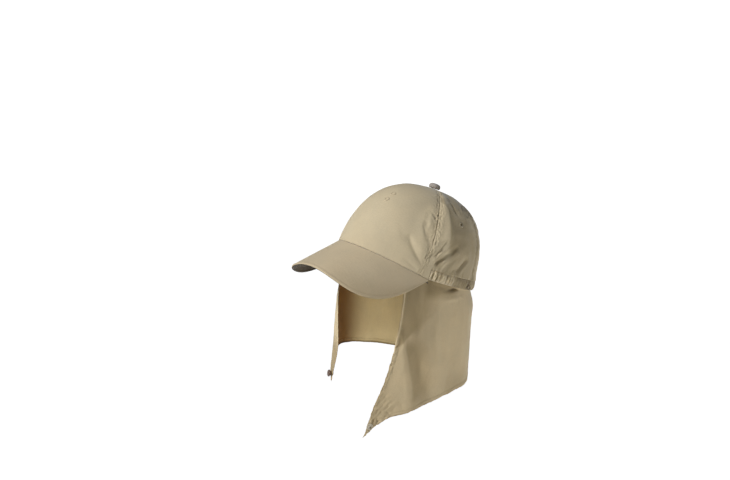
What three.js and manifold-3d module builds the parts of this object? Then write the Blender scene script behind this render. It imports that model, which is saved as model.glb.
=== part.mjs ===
// Sun cape hat: a five-panel cap with a curved bill, an elastic casing round the back of its rim,
// and a neck cape that hangs from inside the rim and ends in two long front flaps with snaps.
// Millimetres, +Z up. The bill points to -Y, the wearer's left is +X, and the origin is the centre
// of the head opening at the level of the rim over the ears. The cap is worn tilted back by TILT.
import * as THREE from "three";
import { mergeVertices } from "three/addons/utils/BufferGeometryUtils.js";
import Module from "manifold-3d";

// ---------------------------------------------------------------- driving dimensions
const HALF_WIDTH = 84; // rim, outside, at the ears
const HALF_LENGTH = 110; // rim, outside, front to back
const CROWN_HEIGHT = 120; // rim plane to the top, along the crown's own axis
const TILT = 25; // degrees, front of the rim up
const TOP_SHIFT = 8.6; // the button sits this far behind the middle of the rim
const RIM_FRONT = 13.8; // height of the rim over the rim plane at the forehead
const RIM_BACK = 3.2; // and at the nape
const WALL = 1.8; // crown cloth with its facing
const GAP = 0.3; // clearance kept between pieces that touch

const FRONT_SEAM = 64; // degrees from the middle of the front, at the rim
const FRONT_SEAM_TOP = 62; // and at the button
const SEAM_BOW = 1.9; // degrees the front seams bow back, low on the crown
const BACK_SEAM = 121; // the seam between a side panel and a back panel
const SEAM_TOP_ANGLE = 88.7; // crown latitude where the panels stop under the button

const BILL_CORNER = 73.2; // degrees from the middle of the front
const BILL_LENGTH = 68.4; // rim to front edge at the middle
const BILL_PITCH = 11.9; // degrees, front edge down
const BILL_ARCH = 84.3; // radius that the bill is curled to
const BILL_THICKNESS = 3;
const BILL_SIDE_POWER = 2.67; // roundness of the outline across
const BILL_FRONT_POWER = 2.67; // and lengthwise

const CASING_HEIGHT = 14; // elastic casing at the back of the rim
const CASING_START = 71.8; // degrees from the middle of the front
const CASING_STEP = 0.3; // degrees over which the panel's foot steps up to clear the casing's end
const CASING_PROUD = 0.7; // how far the gathered casing stands out of the crown
const CASING_WALL = 2.1;

const CAPE_WALL = 1.3; // cape cloth
const CAPE_TUCK = 11; // height of cape cloth sewn inside the rim
const CAPE_INSET = 2.9; // crown outside to cape outside
const CAPE_CLEAR = 2; // the cloth runs straight on this far below the rim before it hangs free

const BUTTON_RADIUS = 7.6;
const BUTTON_HEIGHT = 6.2;
const BUTTON_FORWARD = 2.2; // the button is sewn on this far in front of the crown's top point
const EYELET_RING = 2.9; // radius of the middle of the sewn ring
const EYELET_CORD = 0.85; // half thickness of the sewn ring
const EYELET_HOLE = 1.6; // radius of the hole in the panel
const SNAP_RADIUS = 4.2;
const SNAP_HEIGHT = 2.8;
const RING_RADIUS = 2.6; // small eyelet ring at each end of the casing
const RING_WIRE = 0.7;

// Crown section powers, at the front and at the back: the plan shrinks as cos(latitude)^plan and the
// height grows as sin(latitude)^rise; belly swells the wall half way up, and flare opens the rim.
const SECTION = {
  front: { plan: 0.753, rise: 0.979, belly: 0.004 },
  back: { plan: 0.888, rise: 0.906, belly: 0.046, flare: 0.05 },
};
const FLARE_LATITUDE = 9; // degrees over which the flare dies away

// Soft dents (positive depth) and ridges (negative depth) of the crown cloth. Each runs from one
// (azimuth, latitude) to another, in degrees, with a half width and a depth in mm.
const CREASES = [
  { at: "front seam", a0: 65.2, l0: 4, a1: 62.6, l1: 84, half: 5, depth: 1.5 },
  { at: "seam ridge behind", a0: 68, l0: 20, a1: 67, l1: 56, half: 4.5, depth: -1.4 },
  { at: "pucker low", a0: 56, l0: 33, a1: 61, l1: 23, half: 4, depth: 1.7 },
  { at: "pucker fold", a0: 46, l0: 18, a1: 60, l1: 8, half: 5, depth: 1.8 },
  { at: "temple fold 1", a0: 68, l0: 12, a1: 76, l1: 25, half: 4, depth: 2.0 },
  { at: "temple fold 2", a0: 74, l0: 11, a1: 87, l1: 23, half: 4, depth: 2.0 },
  { at: "temple ridge", a0: 78, l0: 10.5, a1: 90, l1: 20, half: 3.5, depth: -1.2 },
  { at: "ear fold", a0: 95, l0: 10, a1: 102, l1: 17, half: 4, depth: 1.8 },
  { at: "top fold", a0: 85, l0: 72, a1: 87, l1: 52, half: 5, depth: 1.4 },
  { at: "back seam", a0: 121, l0: 8, a1: 121, l1: 84, half: 4.5, depth: 1.2 },
];

// The neck cape. One row for each station round the head: az is the azimuth where the cloth leaves
// the rim; m* is the point half way down and h* the point on the hem.
const CAPE_STATIONS = [
  { az: 52, mx: 62.5, my: -75, mz: -75, hx: 51, hy: -118.5, hz: -197 },
  { az: 58, mx: 67.5, my: -65, mz: -74, hx: 57, hy: -101, hz: -184 },
  { az: 64, mx: 72.5, my: -54, mz: -74, hx: 65, hy: -85, hz: -174 },
  { az: 72, mx: 78, my: -41, mz: -75, hx: 74, hy: -63, hz: -171 },
  { az: 82, mx: 83, my: -21, mz: -77, hx: 81, hy: -39, hz: -166.5 },
  { az: 96, mx: 86, my: 5, mz: -81, hx: 84.5, hy: -10, hz: -162.5 },
  { az: 111, mx: 84.5, my: 32, mz: -86, hx: 84, hy: 18, hz: -161 },
  { az: 126, mx: 75.5, my: 57, mz: -91, hx: 78.6, hy: 49.3, hz: -161.5 },
  { az: 143, mx: 56, my: 80, mz: -96, hx: 58.4, hy: 75.8, hz: -158.5 },
  { az: 161, mx: 29, my: 97, mz: -100, hx: 30, hy: 93, hz: -160 },
  { az: 180, mx: 0, my: 103, mz: -102, hx: 0, hy: 98, hz: -160 },
  { az: 199, mx: -29, my: 97, mz: -100, hx: -31, hy: 93, hz: -160.5 },
  { az: 217, mx: -56, my: 81, mz: -95, hx: -58, hy: 77, hz: -160 },
  { az: 234, mx: -76, my: 57, mz: -89, hx: -79, hy: 53, hz: -157 },
  { az: 249, mx: -85, my: 31, mz: -82, hx: -85, hy: 24, hz: -147 },
  { az: 264, mx: -86, my: 4, mz: -74, hx: -86, hy: -2, hz: -138 },
  { az: 277, mx: -84, my: -22, mz: -66, hx: -86, hy: -23, hz: -132 },
  { az: 288, mx: -85, my: -44, mz: -63, hx: -84.5, hy: -44, hz: -128 },
  { az: 294, mx: -82.5, my: -54.5, mz: -66, hx: -81, hy: -57, hz: -131 },
  { az: 299, mx: -75.6, my: -61.5, mz: -70, hx: -75, hy: -69, hz: -139 },
  { az: 304, mx: -69, my: -67, mz: -73, hx: -66.4, hy: -78.8, hz: -150 },
  { az: 308, mx: -63.5, my: -70, mz: -75, hx: -56.9, hy: -86.8, hz: -161 },
];

// Hanging folds of the cape: az at the rim and az at the hem, half width in degrees, the share of
// the drop where the fold starts and ends, and its depth in mm (positive goes inward).
const CAPE_FOLDS = [
  { at: "cheek ridge", a0: 41.5, a1: 76.5, half: 4, from: 0.3, to: 1.06, depth: -2 },
  { at: "cheek valley", a0: 50, a1: 85, half: 6, from: 0.12, to: 1.06, depth: 4.5 },
  { at: "jaw ridge", a0: 64, a1: 99, half: 7, from: 0.2, to: 1.06, depth: -2.5 },
  { at: "nape valley left", a0: 137, a1: 136, half: 7, from: 0.1, to: 1.1, depth: 3 },
  { at: "nape ridge left", a0: 157, a1: 157, half: 8, from: 0.15, to: 1.1, depth: -3 },
  { at: "nape valley", a0: 180, a1: 181, half: 8, from: 0.15, to: 1.1, depth: 4 },
  { at: "nape ridge right", a0: 205, a1: 207, half: 8, from: 0.15, to: 1.1, depth: -3 },
  { at: "nape valley right", a0: 228, a1: 229, half: 7, from: 0.1, to: 1.1, depth: 3 },
  { at: "ear valley right", a0: 262, a1: 263, half: 8, from: 0.2, to: 1.1, depth: 2.5 },
  { at: "cheek valley right", a0: 290, a1: 291, half: 4, from: 0.3, to: 1.0, depth: 2 },
];

// Where the two free front edges bow: the azimuth and the share of the drop where it is strongest,
// how far it reaches in degrees and in share, and the shift in x and y.
const CAPE_BOWS = [
  { at: "left edge, forward", az: 52, half: 9, t: 0.8, reach: 0.2, dx: -1, dy: -6 },
  { at: "right edge, inward", az: 308, half: 5, t: 0.72, reach: 0.22, dx: 4.5, dy: 3 },
  { at: "out under the casing, left", az: 143, half: 24, t: 0.2, reach: 0.2, dx: 2, dy: 3 },
  { at: "out under the casing, right", az: 217, half: 24, t: 0.2, reach: 0.2, dx: -2, dy: 3 },
];

// Sewn eyelets, by azimuth and latitude in degrees.
const EYELETS = [
  { name: "eyelet_front_upper", panel: "front_panel", az: 6.5, lat: 48.5 },
  { name: "eyelet_front_lower", panel: "front_panel", az: 6.5, lat: 41 },
  { name: "eyelet_side_left", panel: "side_panel_left", az: 92, lat: 42 },
  { name: "eyelet_side_right", panel: "side_panel_right", az: -92, lat: 42 },
  { name: "eyelet_back_left", panel: "back_panel_left", az: 150.5, lat: 42 },
  { name: "eyelet_back_right", panel: "back_panel_right", az: -150.5, lat: 42 },
];

const COLOURS = {
  cloth: { color: 0xb7ab8c, roughness: 0.82, metalness: 0 },
  cape: { color: 0xa89674, roughness: 0.85, metalness: 0 },
  button: { color: 0xbab2a2, roughness: 0.7, metalness: 0 },
  thread: { color: 0x9c9274, roughness: 0.8, metalness: 0 },
  snap: { color: 0x5a4032, roughness: 0.45, metalness: 0 },
  snapPale: { color: 0xb9ae96, roughness: 0.4, metalness: 0 },
  ring: { color: 0x6f6552, roughness: 0.5, metalness: 0 },
};

// ---------------------------------------------------------------- small helpers
const rad = (d) => (d * Math.PI) / 180;
const lerp = (a, b, t) => a + (b - a) * t;
const clamp01 = (t) => Math.min(1, Math.max(0, t));
const smooth = (t) => { const c = clamp01(t); return c * c * (3 - 2 * c); };
const wrap = (deg) => ((((deg + 180) % 360) + 360) % 360) - 180; // -180 .. 180
const sgnPow = (x, p) => Math.sign(x) * Math.abs(x) ** p;

// From the crown's own frame to the worn frame.
const tilted = (x, y, z) => {
  const c = Math.cos(rad(TILT)), s = Math.sin(rad(TILT));
  return new THREE.Vector3(x, y * c + z * s, -y * s + z * c);
};

// ---------------------------------------------------------------- the rim
// Over the bill the rim follows the line where the curled bill meets the crown; behind it, it
// sweeps smoothly to the nape.
const billRoot = () => {
  const t = rad(TILT);
  return { f: HALF_LENGTH * Math.cos(t) - RIM_FRONT * Math.sin(t),
           z: HALF_LENGTH * Math.sin(t) + RIM_FRONT * Math.cos(t) };
};
const archDrop = (x) => BILL_ARCH - Math.sqrt(Math.max(0, BILL_ARCH ** 2 - x * x));
function rimOverBill(az) {
  const t = rad(TILT), tb = Math.tan(rad(BILL_PITCH)), root = billRoot();
  const c = HALF_LENGTH * Math.cos(az);
  return (root.z + tb * (root.f - c * Math.cos(t)) - archDrop(HALF_WIDTH * Math.sin(az)) - c * Math.sin(t))
    / (Math.cos(t) - tb * Math.sin(t));
}
function rimHeight(azDeg) {
  const a = Math.abs(wrap(azDeg));
  if (a <= BILL_CORNER) return rimOverBill(rad(a));
  const corner = rimOverBill(rad(BILL_CORNER));
  return lerp(corner, RIM_BACK, smooth((a - BILL_CORNER) / (180 - BILL_CORNER)));
}

// ---------------------------------------------------------------- the crown surface
function crownPoint(azDeg, latDeg) {
  const az = rad(azDeg), lat = rad(Math.max(0, latDeg));
  const w = (1 + Math.cos(az)) / 2;
  const P = lerp(SECTION.back.plan, SECTION.front.plan, w);
  const Q = lerp(SECTION.back.rise, SECTION.front.rise, w);
  const B = lerp(SECTION.back.belly, SECTION.front.belly, w);
  const flare = SECTION.back.flare * smooth(-Math.cos(az)) * Math.exp(-((latDeg / FLARE_LATITUDE) ** 2));
  const r = Math.cos(lat) ** P + B * Math.sin(2 * lat) + flare;
  const rim = rimHeight(azDeg);
  const up = Math.sin(lat) ** Q;
  return tilted(
    HALF_WIDTH * Math.sin(az) * r,
    -HALF_LENGTH * Math.cos(az) * r + TOP_SHIFT * Math.sin(lat),
    rim + (CROWN_HEIGHT - rim) * up,
  );
}
// Outward normal of a surface given as a function of two angles, azimuth first.
function normalOf(fn, a, b, da = 0.4, db = 0.4) {
  const u = fn(a + da, b).sub(fn(a - da, b));
  const v = fn(a, b + db).sub(fn(a, b - db));
  return u.cross(v).normalize();
}
const crownNormal = (az, lat) => normalOf(crownPoint, az, Math.max(0.6, Math.min(88, lat)));

// The latitude that is a given height of cloth above the rim.
const latAbove = (azDeg, mm) => {
  const a = rad(azDeg), w = (1 + Math.cos(a)) / 2;
  const Q = lerp(SECTION.back.rise, SECTION.front.rise, w);
  return (Math.asin(clamp01((mm / (CROWN_HEIGHT - rimHeight(azDeg))) ** (1 / Q))) * 180) / Math.PI;
};

// Depth of the soft dents at a point, in mm.
function creaseDepth(azDeg, latDeg) {
  const a = Math.abs(wrap(azDeg)), r = Math.cos(rad(latDeg)) ** 0.8;
  const toMm = (da, dl) => [da * 1.65 * r, dl * 1.95];
  let d = 0;
  for (const c of CREASES) {
    const [ux, uy] = toMm(c.a1 - c.a0, c.l1 - c.l0), [px, py] = toMm(a - c.a0, latDeg - c.l0);
    const k = clamp01((px * ux + py * uy) / (ux * ux + uy * uy));
    const dx = px - ux * k, dy = py - uy * k;
    d += c.depth * Math.exp(-(dx * dx + dy * dy) / (c.half * c.half));
  }
  return d * smooth((latDeg - 4) / 6); // the sewn rim stays true
}
function crownSurface(azDeg, latDeg) {
  return crownPoint(azDeg, latDeg).addScaledVector(crownNormal(azDeg, latDeg), -creaseDepth(azDeg, latDeg));
}

// ---------------------------------------------------------------- meshing a cloth wall
// outer(u, v) and inner(u, v) give the two faces over the unit square; the wall is closed round
// its four edges. columns is a count of even columns, or the shares at which they stand.
function wallGeometry(outer, inner, columns, nv) {
  const us = Array.isArray(columns) ? columns : Array.from({ length: columns + 1 }, (_, i) => i / columns);
  const nu = us.length - 1;
  const pos = [], idx = [], row = nu + 1, layer = row * (nv + 1);
  for (const face of [outer, inner])
    for (let j = 0; j <= nv; j++)
      for (let i = 0; i <= nu; i++) {
        const p = face(us[i], j / nv);
        pos.push(p.x, p.y, p.z);
      }
  const at = (side, i, j) => side * layer + j * row + i;
  const quad = (a, b, c, d) => idx.push(a, b, c, a, c, d);
  for (let j = 0; j < nv; j++)
    for (let i = 0; i < nu; i++) {
      quad(at(0, i, j), at(0, i + 1, j), at(0, i + 1, j + 1), at(0, i, j + 1));
      quad(at(1, i, j + 1), at(1, i + 1, j + 1), at(1, i + 1, j), at(1, i, j));
    }
  for (let i = 0; i < nu; i++) {
    quad(at(1, i, 0), at(1, i + 1, 0), at(0, i + 1, 0), at(0, i, 0));
    quad(at(0, i, nv), at(0, i + 1, nv), at(1, i + 1, nv), at(1, i, nv));
  }
  for (let j = 0; j < nv; j++) {
    quad(at(1, 0, j), at(0, 0, j), at(0, 0, j + 1), at(1, 0, j + 1));
    quad(at(0, nu, j), at(1, nu, j), at(1, nu, j + 1), at(0, nu, j + 1));
  }
  const g = new THREE.BufferGeometry();
  g.setAttribute("position", new THREE.Float32BufferAttribute(pos, 3));
  g.setIndex(idx);
  return facingOut(g);
}
// Turns the faces round if they point inwards.
function facingOut(g) {
  const p = g.getAttribute("position"), ix = g.index.array;
  const a = new THREE.Vector3(), b = new THREE.Vector3(), c = new THREE.Vector3();
  let six = 0;
  for (let i = 0; i < ix.length; i += 3) {
    a.fromBufferAttribute(p, ix[i]); b.fromBufferAttribute(p, ix[i + 1]); c.fromBufferAttribute(p, ix[i + 2]);
    six += a.dot(b.cross(c));
  }
  if (six < 0) for (let i = 0; i < ix.length; i += 3) [ix[i + 1], ix[i + 2]] = [ix[i + 2], ix[i + 1]];
  return g;
}

// ---------------------------------------------------------------- crown panels
// Lowest latitude of the crown cloth: the rim itself over the bill, the top of the casing behind it.
const panelFoot = (azDeg) => Math.abs(wrap(azDeg)) < CASING_START - 1.5 * CASING_STEP ? 0 : latAbove(azDeg, CASING_HEIGHT + 2 * GAP);

// The seam lines, as azimuth at a given share of the way up.
const frontSeamAt = (v) => {
  const lat = v * SEAM_TOP_ANGLE;
  return lerp(FRONT_SEAM, FRONT_SEAM_TOP, v) + SEAM_BOW * Math.exp(-(((lat - 20) / 24) ** 2)) * smooth((lat - 4) / 10);
};
// Half of the gap between two panels, turned into degrees at that latitude.
const seamSlack = (lat) => Math.min(6, ((GAP / 2 + 0.05) / (90 * Math.max(0.05, Math.cos(rad(lat)) ** 0.8))) * (180 / Math.PI));

// Columns of the side and back panels, as azimuths at the rim. The casing below stands on the same
// ones, so that the gap between them is even.
const SIDE_COLUMNS = [FRONT_SEAM, CASING_START - 2 * CASING_STEP, CASING_START - CASING_STEP,
  78, 84, 90, 96, 102, 108, 114.5, BACK_SEAM];
const BACK_CELLS = 9;
const BACK_COLUMNS = Array.from({ length: BACK_CELLS + 1 }, (_, i) => lerp(BACK_SEAM, 180, i / BACK_CELLS));
const shares = (list) => list.map((a) => (a - list[0]) / (list[list.length - 1] - list[0]));
const mirrored = (list) => list.map((s) => 1 - s).reverse();

function panelGeometry(leftSeam, rightSeam, nu, nv) {
  const latAt = (az, v) => lerp(panelFoot(az), SEAM_TOP_ANGLE, v);
  const place = (depth) => (u, v) => {
    const rough = lerp(leftSeam(v), rightSeam(v), u);
    const lat = latAt(rough, v), s = seamSlack(lat);
    const az = lerp(leftSeam(v) + s, rightSeam(v) - s, u);
    const p = crownSurface(az, lat);
    return depth ? p.addScaledVector(normalOf(crownSurface, az, Math.max(0.6, Math.min(88, lat))), -depth) : p;
  };
  return wallGeometry(place(0), place(WALL), nu, nv);
}

// ---------------------------------------------------------------- bill
function billOutline(u) {
  const corner = crownPoint(BILL_CORNER, 0), root = billRoot();
  const S = BILL_ARCH * Math.asin(corner.x / BILL_ARCH), fk = -corner.y;
  const reach = root.f + BILL_LENGTH - fk, al = (u * Math.PI) / 2;
  const s = S * sgnPow(Math.sin(al), 2 / BILL_SIDE_POWER);
  const f = fk + reach * Math.abs(Math.cos(al)) ** (2 / BILL_FRONT_POWER);
  return onBill(BILL_ARCH * Math.sin(s / BILL_ARCH), f);
}
// A point of the bill's upper face from its place across and its reach forward.
function onBill(x, f) {
  const root = billRoot();
  return new THREE.Vector3(x, -f, root.z - Math.tan(rad(BILL_PITCH)) * (f - root.f) - archDrop(x));
}
function billNormal(x) {
  const slope = x / Math.sqrt(BILL_ARCH ** 2 - x * x);
  return new THREE.Vector3(slope, -Math.tan(rad(BILL_PITCH)), 1).normalize();
}
function billGeometry(nu, nv) {
  const END = 0.985; // the two corners end in a short edge, not in a point
  const face = (under) => (u, v) => {
    const w = lerp(-END, END, u);
    const root = crownPoint(w * BILL_CORNER, 0), edge = billOutline(w);
    const away = new THREE.Vector2(root.x / HALF_WIDTH, root.y / HALF_LENGTH).normalize();
    const clear = (GAP + 0.1 + (under ? 1.5 : 0)) * (1 - v);
    const x = lerp(root.x + away.x * clear, edge.x, v), f = lerp(-(root.y + away.y * clear), -edge.y, v);
    const p = onBill(x, f);
    // the edge is rounded: both faces draw together over the last few millimetres
    const pinch = 0.32 * smooth((v - 0.9) / 0.1);
    return p.addScaledVector(billNormal(x), under ? -BILL_THICKNESS * (1 - pinch) : -BILL_THICKNESS * pinch);
  };
  return wallGeometry(face(false), face(true), nu, nv);
}

// ---------------------------------------------------------------- elastic casing
function casingGeometry(nv) {
  const from = CASING_START, to = 360 - CASING_START;
  const left = [CASING_START, ...SIDE_COLUMNS.slice(3), ...BACK_COLUMNS.slice(1)];
  const nu = shares([...left, ...left.slice(0, -1).map((a) => 360 - a).reverse()]);
  const face = (depth) => (u, v) => {
    const az = lerp(from, to, u);
    const lat = latAbove(az, v * CASING_HEIGHT);
    const swell = CASING_PROUD * Math.sin(Math.PI * lerp(0.12, 0.88, v));
    return crownPoint(az, lat).addScaledVector(crownNormal(az, Math.max(2, lat)), swell - depth);
  };
  return wallGeometry(face(0), face(CASING_WALL), nu, nv);
}

// ---------------------------------------------------------------- neck cape
// A smooth curve through the station rows, for one column, at any azimuth.
function alongStations(az, key) {
  const rows = CAPE_STATIONS, last = rows.length - 1;
  let i = 0;
  while (i < last - 1 && az > rows[i + 1].az) i++;
  const slope = (k) => {
    if (k === 0) return (rows[1][key] - rows[0][key]) / (rows[1].az - rows[0].az);
    if (k === last) return (rows[last][key] - rows[last - 1][key]) / (rows[last].az - rows[last - 1].az);
    return (rows[k + 1][key] - rows[k - 1][key]) / (rows[k + 1].az - rows[k - 1].az);
  };
  const h = rows[i + 1].az - rows[i].az, t = (az - rows[i].az) / h;
  const a = rows[i][key], b = rows[i + 1][key], ma = slope(i) * h, mb = slope(i + 1) * h;
  const t2 = t * t, t3 = t2 * t;
  return (2 * t3 - 3 * t2 + 1) * a + (t3 - 2 * t2 + t) * ma + (-2 * t3 + 3 * t2) * b + (t3 - t2) * mb;
}
function foldDepth(az, t) {
  let d = 0;
  for (const f of CAPE_FOLDS) {
    const mid = lerp(f.a0, f.a1, t), x = (az - mid) / f.half;
    const fade = smooth((t - f.from) / 0.35) * smooth((f.to - t) / 0.25);
    d += f.depth * Math.exp(-x * x) * fade;
  }
  return d;
}
const TUCK_SHARE = 0.1; // share of the grid that lies inside the rim
function capeBase(az, v) {
  const n = crownNormal(az, 2), down = crownPoint(az, 0).sub(crownPoint(az, 3)).normalize();
  const rim = crownPoint(az, 0).addScaledVector(n, -CAPE_INSET).addScaledVector(down, CAPE_CLEAR);
  if (v < TUCK_SHARE) {
    const lat = latAbove(az, CAPE_TUCK);
    const head = crownPoint(az, lat).addScaledVector(crownNormal(az, Math.max(2, lat)), -CAPE_INSET);
    return head.lerp(rim, v / TUCK_SHARE);
  }
  const t = (v - TUCK_SHARE) / (1 - TUCK_SHARE);
  const a = (1 - t) * (1 - 2 * t), b = 4 * t * (1 - t), c = t * (2 * t - 1);
  const p = new THREE.Vector3(
    a * rim.x + b * alongStations(az, "mx") + c * alongStations(az, "hx"),
    a * rim.y + b * alongStations(az, "my") + c * alongStations(az, "hy"),
    a * rim.z + b * alongStations(az, "mz") + c * alongStations(az, "hz"),
  );
  for (const w of CAPE_BOWS) {
    const k = Math.exp(-(((az - w.az) / w.half) ** 2) - ((t - w.t) / w.reach) ** 2);
    p.x += w.dx * k;
    p.y += w.dy * k;
  }
  return p;
}
const capeNormal = (az, v) => normalOf((a, b) => capeBase(a, b), az, Math.min(0.995, Math.max(TUCK_SHARE + 0.02, v)), 0.8, -0.015);
function capeSurface(az, v) {
  const t = Math.max(0, (v - TUCK_SHARE) / (1 - TUCK_SHARE));
  return capeBase(az, v).addScaledVector(capeNormal(az, v), -foldDepth(az, t));
}
// Columns of the cape: closer together on the two flaps, which carry the sharper folds.
const CAPE_RUNS = [
  { to: 100, cells: 15 },
  { to: 280, cells: 33 },
  { to: CAPE_STATIONS[CAPE_STATIONS.length - 1].az, cells: 11 },
];
function capeColumns() {
  const list = [CAPE_STATIONS[0].az];
  for (const run of CAPE_RUNS) {
    const start = list[list.length - 1];
    for (let i = 1; i <= run.cells; i++) list.push(lerp(start, run.to, i / run.cells));
  }
  return list;
}
function capeGeometry(nv) {
  const columns = capeColumns(), from = columns[0], to = columns[columns.length - 1];
  const face = (depth) => (u, v) => {
    const az = lerp(from, to, u);
    const n = v <= TUCK_SHARE ? crownNormal(az, 2) : capeNormal(az, v);
    return capeSurface(az, v).addScaledVector(n, -depth);
  };
  return wallGeometry(face(0), face(CAPE_WALL), shares(columns), nv);
}

// ---------------------------------------------------------------- round trim
const lathe = (rows, sides) => new THREE.LatheGeometry(rows.map((r) => new THREE.Vector2(r.r, r.y)), sides);
// Turns a lathe's +Y axis to the given direction and moves it to the point.
function placed(g, point, dir) {
  const q = new THREE.Quaternion().setFromUnitVectors(new THREE.Vector3(0, 1, 0), dir.clone().normalize());
  return g.applyMatrix4(new THREE.Matrix4().compose(point, q, new THREE.Vector3(1, 1, 1)));
}
const buttonProfile = [
  { r: 0, y: 0 }, { r: 6.4, y: 0 }, { r: 7.3, y: 0.7 }, { r: BUTTON_RADIUS, y: 2 }, { r: 7.2, y: 4.1 },
  { r: 5.5, y: 5.4 }, { r: 2.9, y: 6.05 }, { r: 0, y: BUTTON_HEIGHT },
];
const snapProfile = [
  { r: 0, y: 0 }, { r: SNAP_RADIUS - 0.4, y: 0 }, { r: SNAP_RADIUS, y: 0.6 }, { r: SNAP_RADIUS, y: 1.2 },
  { r: SNAP_RADIUS - 0.9, y: 2.2 }, { r: 1.9, y: SNAP_HEIGHT }, { r: 0, y: SNAP_HEIGHT },
];
const torus = (radius, tube, around, tubeSides) => {
  const g = new THREE.TorusGeometry(radius, tube, tubeSides, around);
  return g.rotateX(-Math.PI / 2); // axis along +Y, as the lathes
};

// ---------------------------------------------------------------- booleans
const wasm = await Module();
wasm.setup();
function solidOf(geometry) {
  const g = geometry.clone();
  for (const k of ["normal", "uv"]) if (g.getAttribute(k)) g.deleteAttribute(k);
  const m = mergeVertices(g, 1e-4);
  return new wasm.Manifold(new wasm.Mesh({
    numProp: 3,
    vertProperties: new Float32Array(m.getAttribute("position").array),
    triVerts: new Uint32Array(m.index.array),
  }));
}
function geometryOf(solid) {
  const m = solid.getMesh(), g = new THREE.BufferGeometry();
  const pos = new Float32Array(m.numVert * 3);
  for (let i = 0; i < m.numVert; i++) pos.set(m.vertProperties.subarray(i * m.numProp, i * m.numProp + 3), i * 3);
  g.setAttribute("position", new THREE.BufferAttribute(pos, 3));
  g.setIndex(new THREE.BufferAttribute(new Uint32Array(m.triVerts), 1));
  return g;
}

// ---------------------------------------------------------------- assembly
const hat = new THREE.Group();
hat.name = "sun_cape_hat";
const geometries = {};
function addPart(name, geometry, look) {
  const material = new THREE.MeshStandardMaterial(COLOURS[look]);
  geometry.deleteAttribute("uv");
  geometry.computeVertexNormals();
  const mesh = new THREE.Mesh(geometry, material);
  mesh.name = name;
  hat.add(mesh);
}

geometries.front_panel = panelGeometry((v) => -frontSeamAt(v), frontSeamAt, 20, 13);
geometries.side_panel_left = panelGeometry(frontSeamAt, () => BACK_SEAM, shares(SIDE_COLUMNS), 13);
geometries.side_panel_right = panelGeometry(() => -BACK_SEAM, (v) => -frontSeamAt(v), mirrored(shares(SIDE_COLUMNS)), 13);
geometries.back_panel_left = panelGeometry(() => BACK_SEAM, () => 180, BACK_CELLS, 13);
geometries.back_panel_right = panelGeometry(() => 180, () => 360 - BACK_SEAM, BACK_CELLS, 13);

for (const e of EYELETS) {
  const n = normalOf(crownSurface, e.az, e.lat), p = crownSurface(e.az, e.lat);
  const punch = placed(new THREE.CylinderGeometry(EYELET_HOLE, EYELET_HOLE, 8, 8), p.clone(), n);
  geometries[e.panel] = geometryOf(solidOf(geometries[e.panel]).subtract(solidOf(punch)));
  addPart(e.name, placed(torus(EYELET_RING, EYELET_CORD, 14, 5), p.clone().addScaledVector(n, EYELET_CORD + GAP), n), "thread");
}
for (const [name, g] of Object.entries(geometries)) addPart(name, g, "cloth");

addPart("bill", billGeometry(26, 6), "cloth");
addPart("elastic_casing", casingGeometry(2), "cloth");
addPart("neck_cape", capeGeometry(13), "cape");

const crownAxis = tilted(0, 0, 1);
const top = tilted(0, TOP_SHIFT - BUTTON_FORWARD, CROWN_HEIGHT + GAP + 0.3);
addPart("top_button", placed(lathe(buttonProfile, 20), top, crownAxis), "button");

// A snap near the tip of each flap: the cap on the right flap, its socket on the left one.
const SNAPS = [
  { name: "snap_cap_right", az: 306.3, v: 0.985, look: "snap" },
  { name: "snap_socket_left", az: 53.6, v: 0.96, look: "snapPale" },
];
for (const s of SNAPS) {
  const n = capeNormal(s.az, s.v), p = capeSurface(s.az, s.v).addScaledVector(n, GAP + 0.3);
  addPart(s.name, placed(lathe(snapProfile, 14), p, n), s.look);
}
// A small ring on the casing above each ear, where the elastic is caught.
for (const [name, az] of [["casing_ring_left", 117], ["casing_ring_right", -117]]) {
  const lat = latAbove(az, 4), n = crownNormal(az, 4);
  const p = crownPoint(az, lat).addScaledVector(n, CASING_PROUD + RING_WIRE + GAP);
  addPart(name, placed(torus(RING_RADIUS, RING_WIRE, 12, 5), p, n), "ring");
}

export default hat;
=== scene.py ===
# Sun cape hat: the looks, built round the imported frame. Metres in the file, millimetres in the maths.
import bpy
import math
import numpy as np
from mathutils import Matrix, Vector


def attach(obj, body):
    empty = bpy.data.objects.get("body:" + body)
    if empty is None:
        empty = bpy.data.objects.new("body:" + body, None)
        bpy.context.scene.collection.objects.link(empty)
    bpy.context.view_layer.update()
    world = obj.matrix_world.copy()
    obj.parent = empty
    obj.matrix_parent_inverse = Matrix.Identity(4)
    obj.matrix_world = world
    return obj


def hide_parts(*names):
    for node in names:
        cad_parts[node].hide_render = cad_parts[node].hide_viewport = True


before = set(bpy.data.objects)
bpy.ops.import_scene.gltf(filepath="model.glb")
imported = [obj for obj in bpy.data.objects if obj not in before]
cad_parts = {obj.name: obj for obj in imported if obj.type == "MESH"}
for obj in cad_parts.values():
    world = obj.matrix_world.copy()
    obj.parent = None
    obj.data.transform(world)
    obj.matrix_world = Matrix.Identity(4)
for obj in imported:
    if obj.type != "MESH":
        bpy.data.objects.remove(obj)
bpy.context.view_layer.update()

# ------------------------------------------------------------------ the sizes of the part (mm, degrees)
HALF_WIDTH, HALF_LENGTH, CROWN_HEIGHT, TILT, TOP_SHIFT = 84.0, 110.0, 120.0, 25.0, 8.6
RIM_FRONT, RIM_BACK, WALL, GAP = 13.8, 3.2, 1.8, 0.3
FRONT_SEAM, FRONT_SEAM_TOP, BACK_SEAM, SEAM_TOP_ANGLE = 64.0, 62.0, 121.0, 88.7
BILL_CORNER, BILL_LENGTH, BILL_PITCH, BILL_ARCH, BILL_THICKNESS = 73.2, 68.4, 11.9, 84.3, 3.0
BILL_POWER = 2.67
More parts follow.
